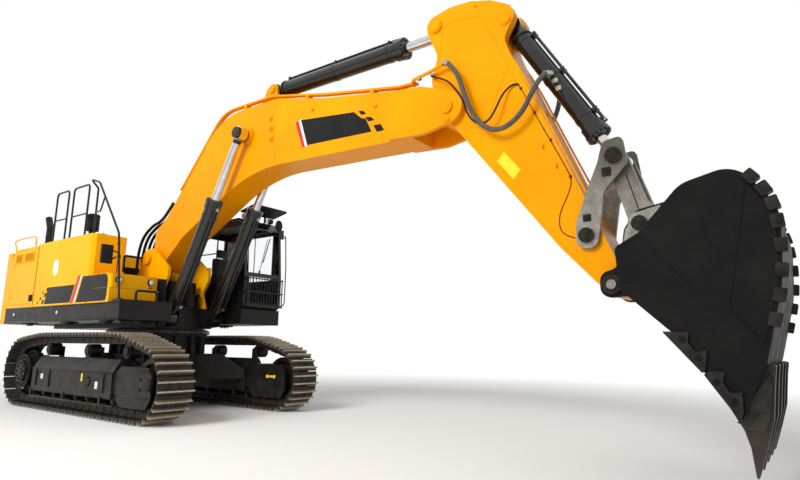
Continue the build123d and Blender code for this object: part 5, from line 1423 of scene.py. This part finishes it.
def add_fitting(shape, place, direction, radius):
    """A crimped ferrule and a swivel nut at a hose's end."""
    place, direction = Vector(place), Vector(direction).normalized()
    for near, far, width, sides in ((0, 2.2, 1.25, 20), (2.1, 3.4, 1.5, 6), (3.3, 4.2, 1.1, 20)):
        add_bar(shape, place + near * radius * direction, place + far * radius * direction, width * radius,
                sides)


# Tip hoses: on each side a thick hose in a grey sleeve feeds the bucket cylinder, and a thin
# nylon one feeds the arm's line. Both hang in a loop that the arm's turn takes up.
THICK_HOSE, THIN_HOSE = 0.032, 0.013
for side, hand in ((-1, "right"), (1, "left")):
    y = side * 0.40
    thick = bmesh.new()
    add_pipe(thick, ((7.02, side * 0.37, 5.02), (7.16, y, 4.86), (7.23, y, 4.68), (7.31, y, 4.42),
                     (7.42, y, 4.16), (7.58, y, 3.96), (7.76, y, 3.88), (7.93, y, 3.92), (8.10, y, 4.05),
                     (8.22, y, 4.26), (8.30, side * 0.34, 4.44), (8.34, side * 0.24, 4.54)),
             THICK_HOSE, 4, 8)
    piece = finish_piece(thick, f"tip_hose_thick_{hand}", "boom_body", grey_sleeve)
    piece.parent = None
    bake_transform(piece)
    thin = bmesh.new()
    y = side * 0.372
    add_pipe(thin, ((6.72, side * 0.30, 4.93), (6.98, y, 4.80), (7.12, y, 4.64), (7.26, y, 4.42),
                    (7.31, y, 4.22), (7.44, y, 4.05), (7.61, y, 4.03), (7.72, y, 4.17),
                    (7.79, side * 0.33, 4.36), (7.86, side * 0.29, 4.46), (7.95, side * 0.275, 4.50),
                    (7.99, side * 0.267, 4.48)), THIN_HOSE, 3, 8)
    piece = finish_piece(thin, f"tip_hose_thin_{hand}", "boom_body", line_black)
    piece.parent = None
    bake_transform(piece)
    ends = bmesh.new()
    add_fitting(ends, (7.04, side * 0.372, 5.0), (-0.8, -side * 0.25, 0.45), 0.030)
    for x in (6.52, 6.74):
        add_block(ends, (x - 0.03, side * 0.285, 4.93), (x + 0.03, side * 0.34, 4.965), 0.006)
    finish_piece(ends, f"boom_tip_fittings_{hand}", "boom_body", plated_steel)
    supply = bmesh.new()
    add_pipe(supply, ((6.33, side * 0.17, 4.955), (6.37, side * 0.27, 4.955), (6.44, side * 0.33, 4.96),
                      (6.70, side * 0.33, 4.985), (6.93, side * 0.36, 5.03)), 0.024, 3, 6)
    finish_piece(supply, f"boom_tip_pipe_{hand}", "boom_body", boom_yellow)
    socket = bmesh.new()
    add_fitting(socket, (8.335, side * 0.25, 4.53), (0.25, -side * 0.9, 0.3), THICK_HOSE)
    for x, z in ((8.42, 4.46), (8.46, 4.35)):
        add_block(socket, (x - 0.035, side * 0.10, z - 0.03), (x + 0.035, side * 0.16, z + 0.03), 0.01)
    finish_piece(socket, f"bucket_cylinder_sockets_{hand}", "arm_body", plated_steel)

# Foot hoses: six wrapped hoses rise from the valves over the cover and bend into the boom's
# pipes, with slack for the boom's lift.
FOOT_ROUTE = ((-0.62, 2.55), (-0.66, 2.95), (-0.52, 3.40), (-0.15, 3.62), (0.10, 3.66), (0.30, 3.78),
              (0.52, 4.00))
for i in range(6):
    y = -0.25 + 0.1 * i
    foot_hose = bmesh.new()
    add_pipe(foot_hose, [at_y(place, y) for place in FOOT_ROUTE], 0.03, 3, 6)
    piece = finish_piece(foot_hose, f"foot_hose_{i + 1}", "upperstructure", hose_rubber)
    piece.parent = None
    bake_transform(piece)
